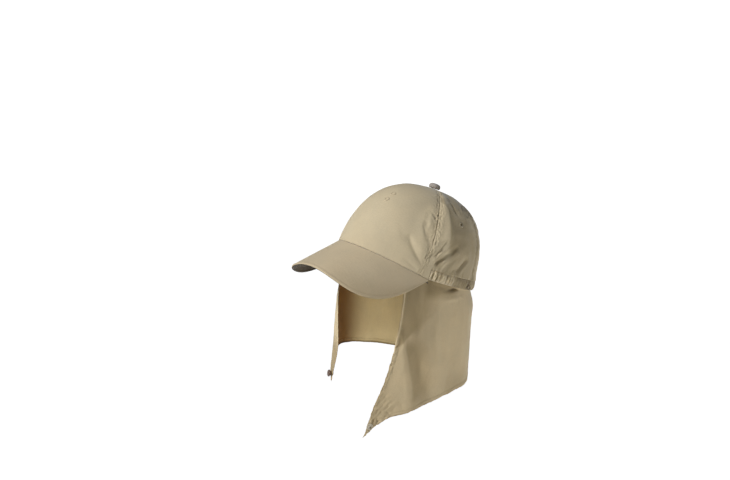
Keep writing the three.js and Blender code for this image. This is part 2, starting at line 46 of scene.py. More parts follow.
CASING_HEIGHT, CASING_START, CASING_STEP, CASING_PROUD, CASING_WALL = 14.0, 71.8, 0.3, 0.7, 2.1
CAPE_TUCK, CAPE_INSET, CAPE_CLEAR = 11.0, 2.9, 2.0
FRONT = dict(plan=0.753, rise=0.979, belly=0.004)
BACK = dict(plan=0.888, rise=0.906, belly=0.046, flare=0.05)
FLARE_LATITUDE = 9.0
TUCK_SHARE = 0.1

# Neck cape stations: azimuth at the rim, a point half way down, the point on the hem.
CAPE_STATIONS = np.array([
    (52, 62.5, -75, -75, 51, -118.5, -197), (58, 67.5, -65, -74, 57, -101, -184),
    (64, 72.5, -54, -74, 65, -85, -174), (72, 78, -41, -75, 74, -63, -171),
    (82, 83, -21, -77, 81, -39, -166.5), (96, 86, 5, -81, 84.5, -10, -162.5),
    (111, 84.5, 32, -86, 84, 18, -161), (126, 75.5, 57, -91, 78.6, 49.3, -161.5),
    (143, 56, 80, -96, 58.4, 75.8, -158.5), (161, 29, 97, -100, 30, 93, -160),
    (180, 0, 103, -102, 0, 98, -160), (199, -29, 97, -100, -31, 93, -160.5),
    (217, -56, 81, -95, -58, 77, -160), (234, -76, 57, -89, -79, 53, -157),
    (249, -85, 31, -82, -85, 24, -147), (264, -86, 4, -74, -86, -2, -138),
    (277, -84, -22, -66, -86, -23, -132), (288, -85, -44, -63, -84.5, -44, -128),
    (294, -82.5, -54.5, -66, -81, -57, -131), (299, -75.6, -61.5, -70, -75, -69, -139),
    (304, -69, -67, -73, -66.4, -78.8, -150), (308, -63.5, -70, -75, -56.9, -86.8, -161),
], float)
# Hanging folds: azimuth at the rim, azimuth at the hem, half width, from, to (share of the drop), depth inward.
CAPE_FOLDS = [
    (41.5, 76.5, 4, 0.3, 1.06, -2.0),
    (50, 85, 6, 0.12, 1.06, 4.5),
    (64, 99, 7, 0.2, 1.06, -2.5),
    (137, 136, 7, 0.1, 1.1, 3),
    (157, 157, 8, 0.15, 1.1, -3),
    (180, 181, 8, 0.15, 1.1, 4),
    (205, 207, 8, 0.15, 1.1, -3),
    (228, 229, 7, 0.1, 1.1, 3),
    (262, 263, 8, 0.2, 1.1, 2.5),
    (290, 291, 4, 0.3, 1.0, 2),
]
# Bows of the free edges: azimuth, half width, share of the drop, reach, shift in x, shift in y.
CAPE_BOWS = [(52, 9, 0.8, 0.2, -1, -6), (308, 5, 0.72, 0.22, 4.5, 3), (143, 24, 0.2, 0.2, 2, 3), (217, 24, 0.2, 0.2, -2, 3)]
# Soft dents (+) and ridges (-) of the crown: azimuth and latitude at both ends, half width, depth.
CREASES = [
    (65.2, 4, 62.6, 84, 5, 0.7), (68, 20, 67, 56, 4.5, -1.4), (56, 33, 61, 23, 4, 1.7), (46, 18, 60, 8, 5, 1.8),
    (68, 12, 76, 25, 4, 2.0), (74, 11, 87, 23, 4, 2.0), (78, 10.5, 90, 20, 3.5, -1.2), (95, 10, 102, 17, 4, 1.8),
    (85, 72, 87, 52, 5, 1.4), (121, 8, 121, 84, 4.5, 1.2),
]

# ------------------------------------------------------------------ small helpers
rad = np.radians


def lerp(a, b, t):
    return a + (b - a) * t


def smooth(t):
    t = np.clip(t, 0, 1)
    return t * t * (3 - 2 * t)


def bump(x, width):
    return np.exp(-((x / width) ** 2))


def wrap(d):
    return np.mod(np.asarray(d, float) + 180, 360) - 180


def unit(v):
    return v / np.maximum(1e-12, np.linalg.norm(v, axis=-1, keepdims=True))


TC, TS = math.cos(math.radians(TILT)), math.sin(math.radians(TILT))


def tilted(x, y, z):
    x, y, z = np.broadcast_arrays(x, y, z)
    return np.stack([x, y * TC + z * TS, -y * TS + z * TC], -1)


# ---- seeded smooth noise, about -1 to 1
def _hash(ix, iy, seed):
    h = (ix.astype(np.int64) * 374761393 + iy.astype(np.int64) * 668265263 + seed * 144269504) & 0xFFFFFFFF
    h = ((h ^ (h >> 13)) * 1274126177) & 0xFFFFFFFF
    h = ((h ^ (h >> 15)) * 2246822519) & 0xFFFFFFFF
    return ((h ^ (h >> 16)) & 0xFFFFFF) / float(0xFFFFFF)


def noise(x, y, seed=0):
    x, y = np.broadcast_arrays(np.asarray(x, float), np.asarray(y, float))
    ix, iy = np.floor(x), np.floor(y)
    fx, fy = x - ix, y - iy
    sx, sy = fx * fx * fx * (fx * (fx * 6 - 15) + 10), fy * fy * fy * (fy * (fy * 6 - 15) + 10)
    out = 0
    for dx in (0, 1):
        for dy in (0, 1):
            a = _hash(ix + dx, iy + dy, seed) * 2 * np.pi
            g = np.cos(a) * (fx - dx) + np.sin(a) * (fy - dy)
            out = out + g * (sx if dx else 1 - sx) * (sy if dy else 1 - sy)
    return out * 1.5


def fbm(x, y, seed=0, octaves=3, gain=0.5):
    out, amp, f = 0, 1.0, 1.0
    for k in range(octaves):
        out = out + amp * noise(x * f, y * f, seed + 17 * k)
        amp *= gain
        f *= 2.03
    return out


# ------------------------------------------------------------------ the part's surfaces
ROOT_F = HALF_LENGTH * TC - RIM_FRONT * TS
ROOT_Z = HALF_LENGTH * TS + RIM_FRONT * TC
TB = math.tan(math.radians(BILL_PITCH))


def arch_drop(x):
    return BILL_ARCH - np.sqrt(np.maximum(0, BILL_ARCH ** 2 - np.asarray(x, float) ** 2))


def rim_over_bill(a):
    c = HALF_LENGTH * np.cos(a)
    return (ROOT_Z + TB * (ROOT_F - c * TC) - arch_drop(HALF_WIDTH * np.sin(a)) - c * TS) / (TC - TB * TS)


RIM_CORNER = float(rim_over_bill(math.radians(BILL_CORNER)))


def rim_height(azd):
    a = np.abs(wrap(azd))
    return np.where(a <= BILL_CORNER, rim_over_bill(rad(np.minimum(a, BILL_CORNER))),
                    lerp(RIM_CORNER, RIM_BACK, smooth((a - BILL_CORNER) / (180 - BILL_CORNER))))


def crown_point(azd, latd):
    azd, latd = np.broadcast_arrays(np.asarray(azd, float), np.asarray(latd, float))
    az, lat = rad(azd), rad(np.maximum(0, latd))
    w = (1 + np.cos(az)) / 2
    P, Q, B = (lerp(BACK[k], FRONT[k], w) for k in ("plan", "rise", "belly"))
    flare = BACK["flare"] * smooth(-np.cos(az)) * np.exp(-((latd / FLARE_LATITUDE) ** 2))
    r = np.maximum(0, np.cos(lat)) ** P + B * np.sin(2 * lat) + flare
    rim = rim_height(azd)
    return tilted(HALF_WIDTH * np.sin(az) * r, -HALF_LENGTH * np.cos(az) * r + TOP_SHIFT * np.sin(lat),
                  rim + (CROWN_HEIGHT - rim) * np.sin(lat) ** Q)


def normal_of(fn, a, b, da=0.4, db=0.4):
    return unit(np.cross(fn(a + da, b) - fn(a - da, b), fn(a, b + db) - fn(a, b - db)))


def crown_normal(az, lat):
    return normal_of(crown_point, az, np.clip(lat, 0.6, 88))


def lat_above(azd, mm):
    w = (1 + np.cos(rad(azd))) / 2
    Q = lerp(BACK["rise"], FRONT["rise"], w)
    return np.degrees(np.arcsin(np.clip((mm / (CROWN_HEIGHT - rim_height(azd))) ** (1 / Q), 0, 1)))


def seam_mm(az, lat):
    """Rough millimetres across (from the middle of the front) and up the crown."""
    return az * 1.65 * np.cos(rad(lat)) ** 0.8, lat * 1.95


def crease_depth(azd, latd):
    a, r = np.abs(wrap(azd)), np.maximum(0, np.cos(rad(latd))) ** 0.8
    d = 0
    for a0, l0, a1, l1, half, depth in CREASES:
        ux, uy = (a1 - a0) * 1.65 * r, (l1 - l0) * 1.95
        px, py = (a - a0) * 1.65 * r, (latd - l0) * 1.95
        k = np.clip((px * ux + py * uy) / (ux * ux + uy * uy), 0, 1)
        d = d + depth * np.exp(-((px - ux * k) ** 2 + (py - uy * k) ** 2) / (half * half))
    return d * smooth((latd - 4) / 6)


def along(az, k):
    A, V = CAPE_STATIONS[:, 0], CAPE_STATIONS[:, k]
    s = np.empty(len(A))
    s[0], s[-1] = (V[1] - V[0]) / (A[1] - A[0]), (V[-1] - V[-2]) / (A[-1] - A[-2])
    s[1:-1] = (V[2:] - V[:-2]) / (A[2:] - A[:-2])
    i = np.clip(np.searchsorted(A, az, side="left") - 1, 0, len(A) - 2)
    h = A[i + 1] - A[i]
    t = (az - A[i]) / h
    t2, t3 = t * t, t * t * t
    return (2 * t3 - 3 * t2 + 1) * V[i] + (t3 - 2 * t2 + t) * s[i] * h + (-2 * t3 + 3 * t2) * V[i + 1] + (t3 - t2) * s[i + 1] * h


def fold_depth(az, t):
    d = 0
    for a0, a1, half, start, end, depth in CAPE_FOLDS:
        fade = smooth((t - start) / 0.35) * smooth((end - t) / 0.25)
        d = d + depth * np.exp(-(((az - lerp(a0, a1, t)) / half) ** 2)) * fade
    return d


def cape_base(az, v):
    az, v = np.broadcast_arrays(np.asarray(az, float), np.asarray(v, float))
    n = crown_normal(az, 2.0 + 0 * az)
    down = unit(crown_point(az, 0) - crown_point(az, 3))
    rim = crown_point(az, 0) - n * CAPE_INSET + down * CAPE_CLEAR
    lat = lat_above(az, CAPE_TUCK)
    head = crown_point(az, lat) - crown_normal(az, np.maximum(2, lat)) * CAPE_INSET
    tuck = head + (rim - head) * (v / TUCK_SHARE)[..., None]
    t = ((v - TUCK_SHARE) / (1 - TUCK_SHARE))[..., None]
    a, b, c = (1 - t) * (1 - 2 * t), 4 * t * (1 - t), t * (2 * t - 1)
    M = np.stack([along(az, k) for k in (1, 2, 3)], -1)
    H = np.stack([along(az, k) for k in (4, 5, 6)], -1)
    p = a * rim + b * M + c * H
    for wa, half, wt, reach, dx, dy in CAPE_BOWS:
        k = np.exp(-(((az - wa) / half) ** 2) - ((t[..., 0] - wt) / reach) ** 2)
        p[..., 0] += dx * k
        p[..., 1] += dy * k
    return np.where((v < TUCK_SHARE)[..., None], tuck, p)


def cape_normal(az, v):
    return normal_of(cape_base, az, np.clip(v, TUCK_SHARE + 0.02, 0.995), 0.8, -0.015)


# ------------------------------------------------------------------ meshes
def make_mesh(name, V, F, uv=None, attrs=None, mats=None, mat_index=None, smooth_shade=True):
    """One mesh object. V in mm (n, 3); F quads or triangles (m, k); uv in mm per vertex."""
    V = np.asarray(V, float)
    F = np.asarray(F, np.int64)
    me = bpy.data.meshes.new(name)
    me.vertices.add(len(V))
    me.vertices.foreach_set("co", (V / 1000).astype(np.float32).ravel())
    me.loops.add(F.size)
    me.loops.foreach_set("vertex_index", F.astype(np.int32).ravel())
    me.polygons.add(len(F))
    me.polygons.foreach_set("loop_start", np.arange(0, F.size, F.shape[1], dtype=np.int32))
    me.update(calc_edges=True)
    me.validate(clean_customdata=False)
    if uv is not None:
        layer = me.uv_layers.new(name="cloth_mm")
        corner = np.empty(len(me.loops), np.int32)
        me.loops.foreach_get("vertex_index", corner)
        layer.data.foreach_set("uv", np.asarray(uv, np.float32)[corner].ravel())
    for key, values in (attrs or {}).items():
        me.attributes.new(key, "FLOAT", "POINT").data.foreach_set("value", np.asarray(values, np.float32))
    if smooth_shade:
        me.polygons.foreach_set("use_smooth", np.ones(len(me.polygons), bool))
    for m in mats or []:
        me.materials.append(m)
    if mat_index is not None:
        me.polygons.foreach_set("material_index", np.asarray(mat_index, np.int32))
    o = bpy.data.objects.new(name, me)
    bpy.context.scene.collection.objects.link(o)
    return o


def shell(name, outer, inner, uv, attrs=None, mats=None, hole=None):
    """A closed thin wall between two grids (rows, columns, 3), outer facing out."""
    nv, nu = outer.shape[:2]
    V = np.concatenate([outer.reshape(-1, 3), inner.reshape(-1, 3)])
    k = np.arange(nv * nu).reshape(nv, nu)
    q = lambda a, b, c, d: np.stack([a.ravel(), b.ravel(), c.ravel(), d.ravel()], -1)
    L = nv * nu
    top = q(k[:-1, :-1], k[:-1, 1:], k[1:, 1:], k[1:, :-1])
    low = q(k[1:, :-1], k[1:, 1:], k[:-1, 1:], k[:-1, :-1]) + L
    e0 = q(k[0, :-1] + L, k[0, 1:] + L, k[0, 1:], k[0, :-1])
    e1 = q(k[-1, :-1], k[-1, 1:], k[-1, 1:] + L, k[-1, :-1] + L)
    e2 = q(k[:-1, 0] + L, k[:-1, 0], k[1:, 0], k[1:, 0] + L)
    e3 = q(k[:-1, -1], k[:-1, -1] + L, k[1:, -1] + L, k[1:, -1])
    parts = [top, low, e0, e1, e2, e3]
    if hole is not None and hole.any():
        keep = ~hole.ravel()
        parts[0], parts[1] = top[keep], low[keep]
        solid = np.pad(~hole, 1, constant_values=False)
        for j, i in zip(*np.nonzero(hole)):  # walls of the opening, one quad for each side of a removed cell that meets kept cloth
            a, b, c, d = k[j, i], k[j, i + 1], k[j + 1, i + 1], k[j + 1, i]
            for on, p0, p1 in ((solid[j, i + 1], a, b), (solid[j + 1, i + 2], b, c), (solid[j + 2, i + 1], c, d), (solid[j + 1, i], d, a)):
                if on:
                    parts.append(np.array([[p0, p1, p1 + L, p0 + L]]))
    F = np.concatenate(parts)
    if volume(V, F) < 0:
        F = F[:, ::-1]
    uv2 = np.concatenate([uv.reshape(-1, 2), uv.reshape(-1, 2) + np.array([1000.0, 0.0])])
    at = {key: np.concatenate([v[0].ravel(), v[1].ravel()]) for key, v in (attrs or {}).items()}
    return make_mesh(name, V, F, uv2, at, mats)


def volume(V, F):
    p = V[F]
    s = 0.0
    for i in range(1, F.shape[1] - 1):
        s += float(np.einsum("ij,ij->i", p[:, 0], np.cross(p[:, i], p[:, i + 1])).sum())
    return s


def grid_normals(P):
    """Unit normals of a grid (rows, columns, 3), from its own points."""
    u = np.gradient(P, axis=1)
    v = np.gradient(P, axis=0)
    return unit(np.cross(u, v))


def arc_lengths(P, axis):
    d = np.linalg.norm(np.diff(P, axis=axis), axis=-1)
    z = np.zeros_like(np.take(d, [0], axis=axis))
    return np.concatenate([z, np.cumsum(d, axis=axis)], axis=axis)


def graded(total, fine, coarse, edge_lo=12.0, edge_hi=12.0):
    """Shares 0..1 along a length in mm, with fine steps near both ends."""
    out = [0.0]
    while out[-1] < total:
        d = min(out[-1] / max(edge_lo, 1e-6), (total - out[-1]) / max(edge_hi, 1e-6))
        out.append(out[-1] + lerp(fine, coarse, float(np.clip(d, 0, 1))))
    out = np.array(out)
    return out / out[-1]


def stitches(name, runs, mat, pitch=2.7, length=2.0, radius=0.24, sink=0.1):
    """Rows of lock stitches as small rounded thread bodies, joined in one mesh. A run is (points, normals) in mm."""
    around, along_n = 6, 4
    Vs, Fs, n0 = [], [], 0
    ring = np.linspace(0, 2 * np.pi, around, endpoint=False)
    prof = np.array([0.35, 0.95, 0.95, 0.35])
    lift = np.array([-0.55, 0.35, 0.35, -0.55])
    for P, N in runs:
        s = np.concatenate([[0], np.cumsum(np.linalg.norm(np.diff(P, axis=0), axis=1))])
        if s[-1] < pitch:
            continue
        for c in np.arange(pitch * 0.6, s[-1] - pitch * 0.5, pitch):
            ts = c + (np.linspace(-0.5, 0.5, along_n)) * length
            pts = np.stack([np.interp(ts, s, P[:, i]) for i in range(3)], -1)
            nr = unit(np.stack([np.interp(c, s, N[:, i]) for i in range(3)], -1))
            t = unit(pts[-1] - pts[0])
            b = unit(np.cross(nr, t))
            body = []
            for j in range(along_n):
                ctr = pts[j] + nr * (radius * (lift[j]) - sink + radius * 0.5)
                body.append(ctr + radius * prof[j] * (np.cos(ring)[:, None] * b + np.sin(ring)[:, None] * nr))
            Vs.append(np.concatenate(body))
            k = np.arange(around)
            k2 = (k + 1) % around
            for j in range(along_n - 1):
                a0, a1 = n0 + j * around, n0 + (j + 1) * around
                Fs.append(np.stack([a0 + k, a1 + k, a1 + k2, a0 + k2], -1))
            m = around // 2
            for base, flip in ((n0, False), (n0 + (along_n - 1) * around, True)):
                for i in range(m - 1):
                    f = np.array([[base + i, base + i + 1, base + around - 2 - i, base + around - 1 - i]])
                    Fs.append(f[:, ::-1] if flip else f)
            n0 += around * along_n
    V, F = np.concatenate(Vs), np.concatenate(Fs)
    if volume(V, F) < 0:
        F = F[:, ::-1]
    return make_mesh(name, V, F, uv=V[:, :2] * 0 + np.stack([V[:, 0] + V[:, 1], V[:, 2]], -1), mats=[mat])


def tube(points, radius, sides=10, closed=False, up=None):
    """Vertices and quads of a round tube along points (mm), ends capped with quads when open. sides is even."""
    P = np.asarray(points, float)
    n = len(P)
    if closed:
        T = unit(np.roll(P, -1, 0) - np.roll(P, 1, 0))
    else:
        T = unit(np.gradient(P, axis=0))
    ref = np.array([0, 0, 1.0]) if up is None else np.asarray(up, float)
    if up is None and abs(T[0] @ ref) > 0.9:
        ref = np.array([1.0, 0, 0])
    B = unit(np.cross(T, ref))
    N = unit(np.cross(B, T))
    a = np.linspace(0, 2 * np.pi, sides, endpoint=False)
    R = np.broadcast_to(np.asarray(radius, float), (n,))
    V = P[:, None] + R[:, None, None] * (np.cos(a)[None, :, None] * B[:, None] + np.sin(a)[None, :, None] * N[:, None])
    k = np.arange(n * sides).reshape(n, sides)
    k2 = np.roll(k, -1, 1)
    rows = [(i, (i + 1) % n) for i in range(n if closed else n - 1)]
    F = [np.stack([k[i], k[j], k2[j], k2[i]], -1) for i, j in rows]
    if not closed:
        for i, flip in ((0, False), (n - 1, True)):
            for m in range(sides // 2 - 1):
                f = np.array([[k[i][m], k[i][m + 1], k[i][sides - 2 - m], k[i][sides - 1 - m]]])
                F.append(f[:, ::-1] if flip else f)
    F = np.concatenate(F)
    V = V.reshape(-1, 3)
    if volume(V, F) < 0:
        F = F[:, ::-1]
    return V, F


def lathe(rows, sides):
    """Vertices and quads of a turned body from (radius, height) rows; the first and last radius are 0."""
    a = np.linspace(0, 2 * np.pi, sides, endpoint=False)
    rows = [(max(r, 1e-3), y) for r, y in rows]
    V = np.concatenate([np.stack([r * np.cos(a), r * np.sin(a), np.full(sides, y)], -1) for r, y in rows])
    k = np.arange(len(rows) * sides).reshape(len(rows), sides)
    k2 = np.roll(k, -1, 1)
    F = [np.stack([k[i], k2[i], k2[i + 1], k[i + 1]], -1) for i in range(len(rows) - 1)]
    for i, flip in ((0, True), (len(rows) - 1, False)):
        for m in range(sides // 2 - 1):
            f = np.array([[k[i][m], k[i][m + 1], k[i][sides - 2 - m], k[i][sides - 1 - m]]])
            F.append(f[:, ::-1] if flip else f)
    F = np.concatenate(F)
    if volume(V, F) < 0:
        F = F[:, ::-1]
    return V, F


def frame_at(p, n, hint=(0, 0, 1)):
    """Rotation and place: columns are two tangents and the normal."""
    n = unit(np.asarray(n, float))
    b = unit(np.cross(np.asarray(hint, float), n)) if abs(np.dot(hint, n)) < 0.98 else unit(np.cross((0, 1, 0), n))
    t = np.cross(n, b)
    return np.stack([b, t, n], 1), np.asarray(p, float)


def put(V, place):
    R, p = place
    return V @ R.T + p


def joined(parts):
    Vs, Fs, n0 = [], [], 0
    for V, F in parts:
        Vs.append(V)
        Fs.append(F + n0)
        n0 += len(V)
    return np.concatenate(Vs), np.concatenate(Fs)


# ------------------------------------------------------------------ materials
def srgb(r, g, b):
    f = lambda c: c / 12.92 if c <= 0.04045 else ((c + 0.055) / 1.055) ** 2.4
    return tuple(f(c / 255) for c in (r, g, b)) + (1.0,)


class Nodes:
    """A small builder for a material's node tree."""

    def __init__(self, name):
        self.mat = bpy.data.materials.new(name)
        self.mat.use_nodes = True
        self.t = self.mat.node_tree
        self.t.nodes.clear()
        self.out = self.new("ShaderNodeOutputMaterial")
        self.bsdf = self.new("ShaderNodeBsdfPrincipled")
        self.link(self.bsdf.outputs[0], self.out.inputs["Surface"])

    def new(self, kind, **props):
        n = self.t.nodes.new(kind)
        for k, v in props.items():
            setattr(n, k, v)
        return n

    def link(self, a, b):
        self.t.links.new(a, b)

    def put(self, socket, value):
        if isinstance(value, (int, float)):
            socket.default_value = value
        elif isinstance(value, tuple):
            socket.default_value = value
        else:
            self.link(value, socket)

    def math(self, op, a, b=None, c=None, clamp=False):
        n = self.new("ShaderNodeMath", operation=op, use_clamp=clamp)
        for i, v in enumerate((a, b, c)):
            if v is not None:
                self.put(n.inputs[i], v)
        return n.outputs[0]

    def mix(self, a, b, f):
        n = self.new("ShaderNodeMix", data_type="RGBA")
        self.put(n.inputs[0], f)
        self.put(n.inputs[6], a)
        self.put(n.inputs[7], b)
        return n.outputs[2]

    def mul(self, colour, value):
        """A colour times a grey value."""
        n = self.new("ShaderNodeVectorMath", operation="SCALE")
        self.put(n.inputs[0], colour) if not isinstance(colour, tuple) else setattr(n.inputs[0], "default_value", colour[:3])
        self.put(n.inputs["Scale"], value)
        return n.outputs[0]

    def uv(self):
        n = self.new("ShaderNodeUVMap", uv_map="cloth_mm")
        return n.outputs[0]

    def scaled(self, vec, x, y, z=1.0):
        n = self.new("ShaderNodeVectorMath", operation="MULTIPLY")
        self.link(vec, n.inputs[0])
        n.inputs[1].default_value = (x, y, z)
        return n.outputs[0]

    def noise(self, vec, scale=1.0, detail=2.0, rough=0.5, lo=0.0, hi=1.0):
        n = self.new("ShaderNodeTexNoise")
        self.link(vec, n.inputs["Vector"])
        n.inputs["Scale"].default_value = scale
        n.inputs["Detail"].default_value = detail
        n.inputs["Roughness"].default_value = rough
        r = self.new("ShaderNodeMapRange")
        self.link(n.outputs["Fac"], r.inputs[0])
        r.inputs[1].default_value, r.inputs[2].default_value = 0.3, 0.7
        r.inputs[3].default_value, r.inputs[4].default_value = lo, hi
        return r.outputs[0]

    def attr(self, name):
        return self.new("ShaderNodeAttribute", attribute_name=name).outputs["Fac"]

    def bump(self, height, strength, distance, normal=None):
        n = self.new("ShaderNodeBump")
        n.inputs["Strength"].default_value = strength
        n.inputs["Distance"].default_value = distance
        self.link(height, n.inputs["Height"])
        if normal is not None:
            self.link(normal, n.inputs["Normal"])
        return n.outputs[0]


def cloth_material(name, colour, shade, pitch=0.42, weave=0.35, vary=0.05, sheen=0.22, rough=(0.72, 0.92), streak=0.05, inner=None, through=0.0, deep=None):
    """Plain-woven cotton or nylon: threads both ways, slubs and uneven dye, with painted light and shade read from the
    mesh (lighter edges, darker seam grooves, patches of painted shade and painted highlight) and a colour of its own
    for the wrong side.
    """
    k = Nodes(name)
    uv = k.uv()
    sep = k.new("ShaderNodeSeparateXYZ")
    k.link(uv, sep.inputs[0])
    u, v = sep.outputs[0], sep.outputs[1]
    wander = k.noise(k.scaled(uv, 0.05, 0.05), 1.0, 2.0, 0.5, -0.8, 0.8)
    u2 = k.math("ADD", u, wander)
    v2 = k.math("ADD", v, wander)
    w = math.pi / pitch
    a = k.math("ABSOLUTE", k.math("SINE", k.math("MULTIPLY", u2, w)))
    b = k.math("ABSOLUTE", k.math("SINE", k.math("MULTIPLY", v2, w)))
    over = k.math("MULTIPLY", k.math("SINE", k.math("MULTIPLY", u2, w)), k.math("SINE", k.math("MULTIPLY", v2, w)))
    side = k.math("MULTIPLY_ADD", over, 0.9, 0.5, clamp=True)
    threads = k.math("ADD", k.math("MULTIPLY", a, side), k.math("MULTIPLY", b, k.math("SUBTRACT", 1.0, side)))
    warp = k.noise(k.scaled(uv, 2.1, 0.045), 1.0, 3.0, 0.6, -1.0, 1.0)
    weft = k.noise(k.scaled(uv, 0.05, 2.3), 1.0, 3.0, 0.6, -1.0, 1.0)
    slub = k.math("ADD", warp, weft)
    cloudy = k.noise(k.scaled(uv, 0.022, 0.018), 1.0, 3.0, 0.55, -1.0, 1.0)
    fine = k.noise(k.scaled(uv, 0.35, 0.3), 1.0, 4.0, 0.6, -1.0, 1.0)
    value = k.math("MULTIPLY_ADD", slub, streak * 0.5, 1.0)
    value = k.math("MULTIPLY_ADD", cloudy, vary, value)
    value = k.math("MULTIPLY_ADD", fine, 0.018, value)
    value = k.math("MULTIPLY_ADD", threads, 0.10, k.math("SUBTRACT", value, 0.06))
    # painted light and shade from the mesh lightens or darkens the cloth
    painted_light_shade_and_wear = k.attr("painted_light_shade_and_wear")
    value = k.math("MULTIPLY_ADD", painted_light_shade_and_wear, 0.16, value)
    hue = k.noise(k.scaled(uv, 0.03, 0.026), 1.0, 2.0, 0.5, 0.0, 1.0)
    base = k.mix(colour, shade, k.math("MULTIPLY", hue, 0.55))
    if inner is not None:  # the wrong side has a colour of its own, and where "inside" passes 1 it turns to the deep colour; "inside" runs from 0 on the right side to 1 or more on the wrong side. On the cape the lighter wrong side is painted light and the deep brown is painted shade
        ins = k.attr("inside")
        base = k.mix(base, inner, k.math("MULTIPLY", ins, 1.0, clamp=True))
        if deep is not None:
            base = k.mix(base, deep, k.math("SUBTRACT", ins, 1.0, clamp=True))
    # where there is painted shade the colour is also made warmer
    base = k.mix(base, k.scaled(base, 1.0, 0.93, 0.78), k.math("MULTIPLY", painted_light_shade_and_wear, -0.3, clamp=True))
    tone = k.mul(base, value)
    k.link(tone, k.bsdf.inputs["Base Color"])
    if through > 0:  # thin cloth lets a little light through
        tl = k.new("ShaderNodeBsdfTranslucent")
        k.link(k.mul(k.mix(tone, (0.80, 0.58, 0.30, 1.0), 0.5), 1.0), tl.inputs["Color"])
        ms = k.new("ShaderNodeMixShader")
        ms.inputs[0].default_value = through
        k.link(k.bsdf.outputs[0], ms.inputs[1])
        k.link(tl.outputs[0], ms.inputs[2])
        k.link(ms.outputs[0], k.out.inputs["Surface"])
    k.link(k.math("MULTIPLY_ADD", fine, 0.5 * (rough[1] - rough[0]), 0.5 * (rough[0] + rough[1])), k.bsdf.inputs["Roughness"])
    height = k.math("ADD", k.math("MULTIPLY", threads, 1.0), k.math("MULTIPLY", slub, 0.25))
    n1 = k.bump(fine, 0.25, 0.00025)
    k.link(k.bump(height, weave, 0.00009, n1), k.bsdf.inputs["Normal"])
    k.bsdf.inputs["Sheen Weight"].default_value = sheen
    k.bsdf.inputs["Sheen Roughness"].default_value = 0.45
    k.bsdf.inputs["Sheen Tint"].default_value = (0.86, 0.95, 1.0, 1.0)
    k.bsdf.inputs["Specular IOR Level"].default_value = 0.28
    return k.mat


def thread_material(name, colour, dark):
    """Sewing thread: two plies twisted round each other."""
    k = Nodes(name)
    uv = k.uv()
    sep = k.new("ShaderNodeSeparateXYZ")
    k.link(uv, sep.inputs[0])
    twist = k.math("SINE", k.math("MULTIPLY", k.math("ADD", sep.outputs[0], sep.outputs[1]), 9.0))
    fuzz = k.noise(uv, 3.0, 3.0, 0.6, -1.0, 1.0)
    tone = k.math("MULTIPLY_ADD", twist, 0.3, k.math("MULTIPLY_ADD", fuzz, 0.25, 0.5), clamp=True)
    k.link(k.mix(dark, colour, tone), k.bsdf.inputs["Base Color"])
    k.link(k.math("MULTIPLY_ADD", fuzz, 0.08, 0.6), k.bsdf.inputs["Roughness"])
    k.link(k.bump(k.math("ADD", twist, fuzz), 0.3, 0.0001), k.bsdf.inputs["Normal"])
    k.bsdf.inputs["Sheen Weight"].default_value = 0.2
    k.bsdf.inputs["Sheen Roughness"].default_value = 0.4
    return k.mat


def hard_material(name, colour, worn, rough, coat=0.3, metal=0.0, spec=0.5):
    """Moulded resin or a painted metal ring: faint mottling and fine scuffs."""
    k = Nodes(name)
    co = k.new("ShaderNodeTexCoord").outputs["Object"]
    mottle = k.noise(co, 320.0, 3.0, 0.55, 0.0, 1.0)
    scuff = k.noise(k.scaled(co, 1.0, 1.0, 6.0), 900.0, 4.0, 0.65, -1.0, 1.0)
    k.link(k.mix(colour, worn, k.math("MULTIPLY", mottle, 0.5)), k.bsdf.inputs["Base Color"])
    k.link(k.math("MULTIPLY_ADD", scuff, 0.1, rough), k.bsdf.inputs["Roughness"])
    k.link(k.bump(scuff, 0.12, 0.00008), k.bsdf.inputs["Normal"])
    k.bsdf.inputs["Coat Weight"].default_value = coat
    k.bsdf.inputs["Coat Roughness"].default_value = 0.25
    k.bsdf.inputs["Metallic"].default_value = metal
    k.bsdf.inputs["Specular IOR Level"].default_value = spec
    return k.mat


CLOTH = cloth_material("crown_poplin", srgb(211, 194, 158), srgb(203, 189, 157))
BILL_CLOTH = cloth_material("bill_poplin", srgb(208, 189, 154), srgb(200, 185, 153), vary=0.035, inner=srgb(78, 65, 45))
CASING_CLOTH = cloth_material("casing_poplin", srgb(204, 187, 151), srgb(194, 180, 150), vary=0.06)
# the cape's wrong side (inner) is lighter than its right side: painted light; its deep brown (deep), used towards the
# far flap's front, is painted shade
CAPE_CLOTH = cloth_material("cape_poplin", srgb(220, 199, 157), srgb(214, 196, 158), weave=0.3, vary=0.05, streak=0.07, inner=srgb(230, 209, 158), through=0.10, deep=srgb(130, 90, 36))
BUTTON_CLOTH = cloth_material("button_poplin", srgb(169, 160, 149), srgb(158, 149, 137), vary=0.04)
THREAD = thread_material("sewing_thread", srgb(204, 186, 150), srgb(172, 154, 120))
EYELET_THREAD = thread_material("eyelet_thread", srgb(184, 173, 144), srgb(140, 128, 102))
TONE_THREAD = thread_material("tone_thread", srgb(214, 198, 162), srgb(198, 182, 148))
DARK_THREAD = thread_material("tack_thread", srgb(150, 128, 98), srgb(112, 90, 66))
SNAP_DARK = hard_material("snap_resin_dark", srgb(96, 72, 56), srgb(128, 104, 86), 0.38, coat=0.4)
SNAP_PALE = hard_material("snap_resin_pale", srgb(206, 196, 172), srgb(188, 176, 150), 0.42, coat=0.2)
RING_MAT = hard_material("ring_enamel", srgb(122, 108, 84), srgb(90, 76, 56), 0.42, coat=0.2, metal=0.35)


# ------------------------------------------------------------------ crown relief
def mm_per_degree(az, lat):
    return np.linalg.norm(crown_point(az + 0.5, lat) - crown_point(az - 0.5, lat), axis=-1)


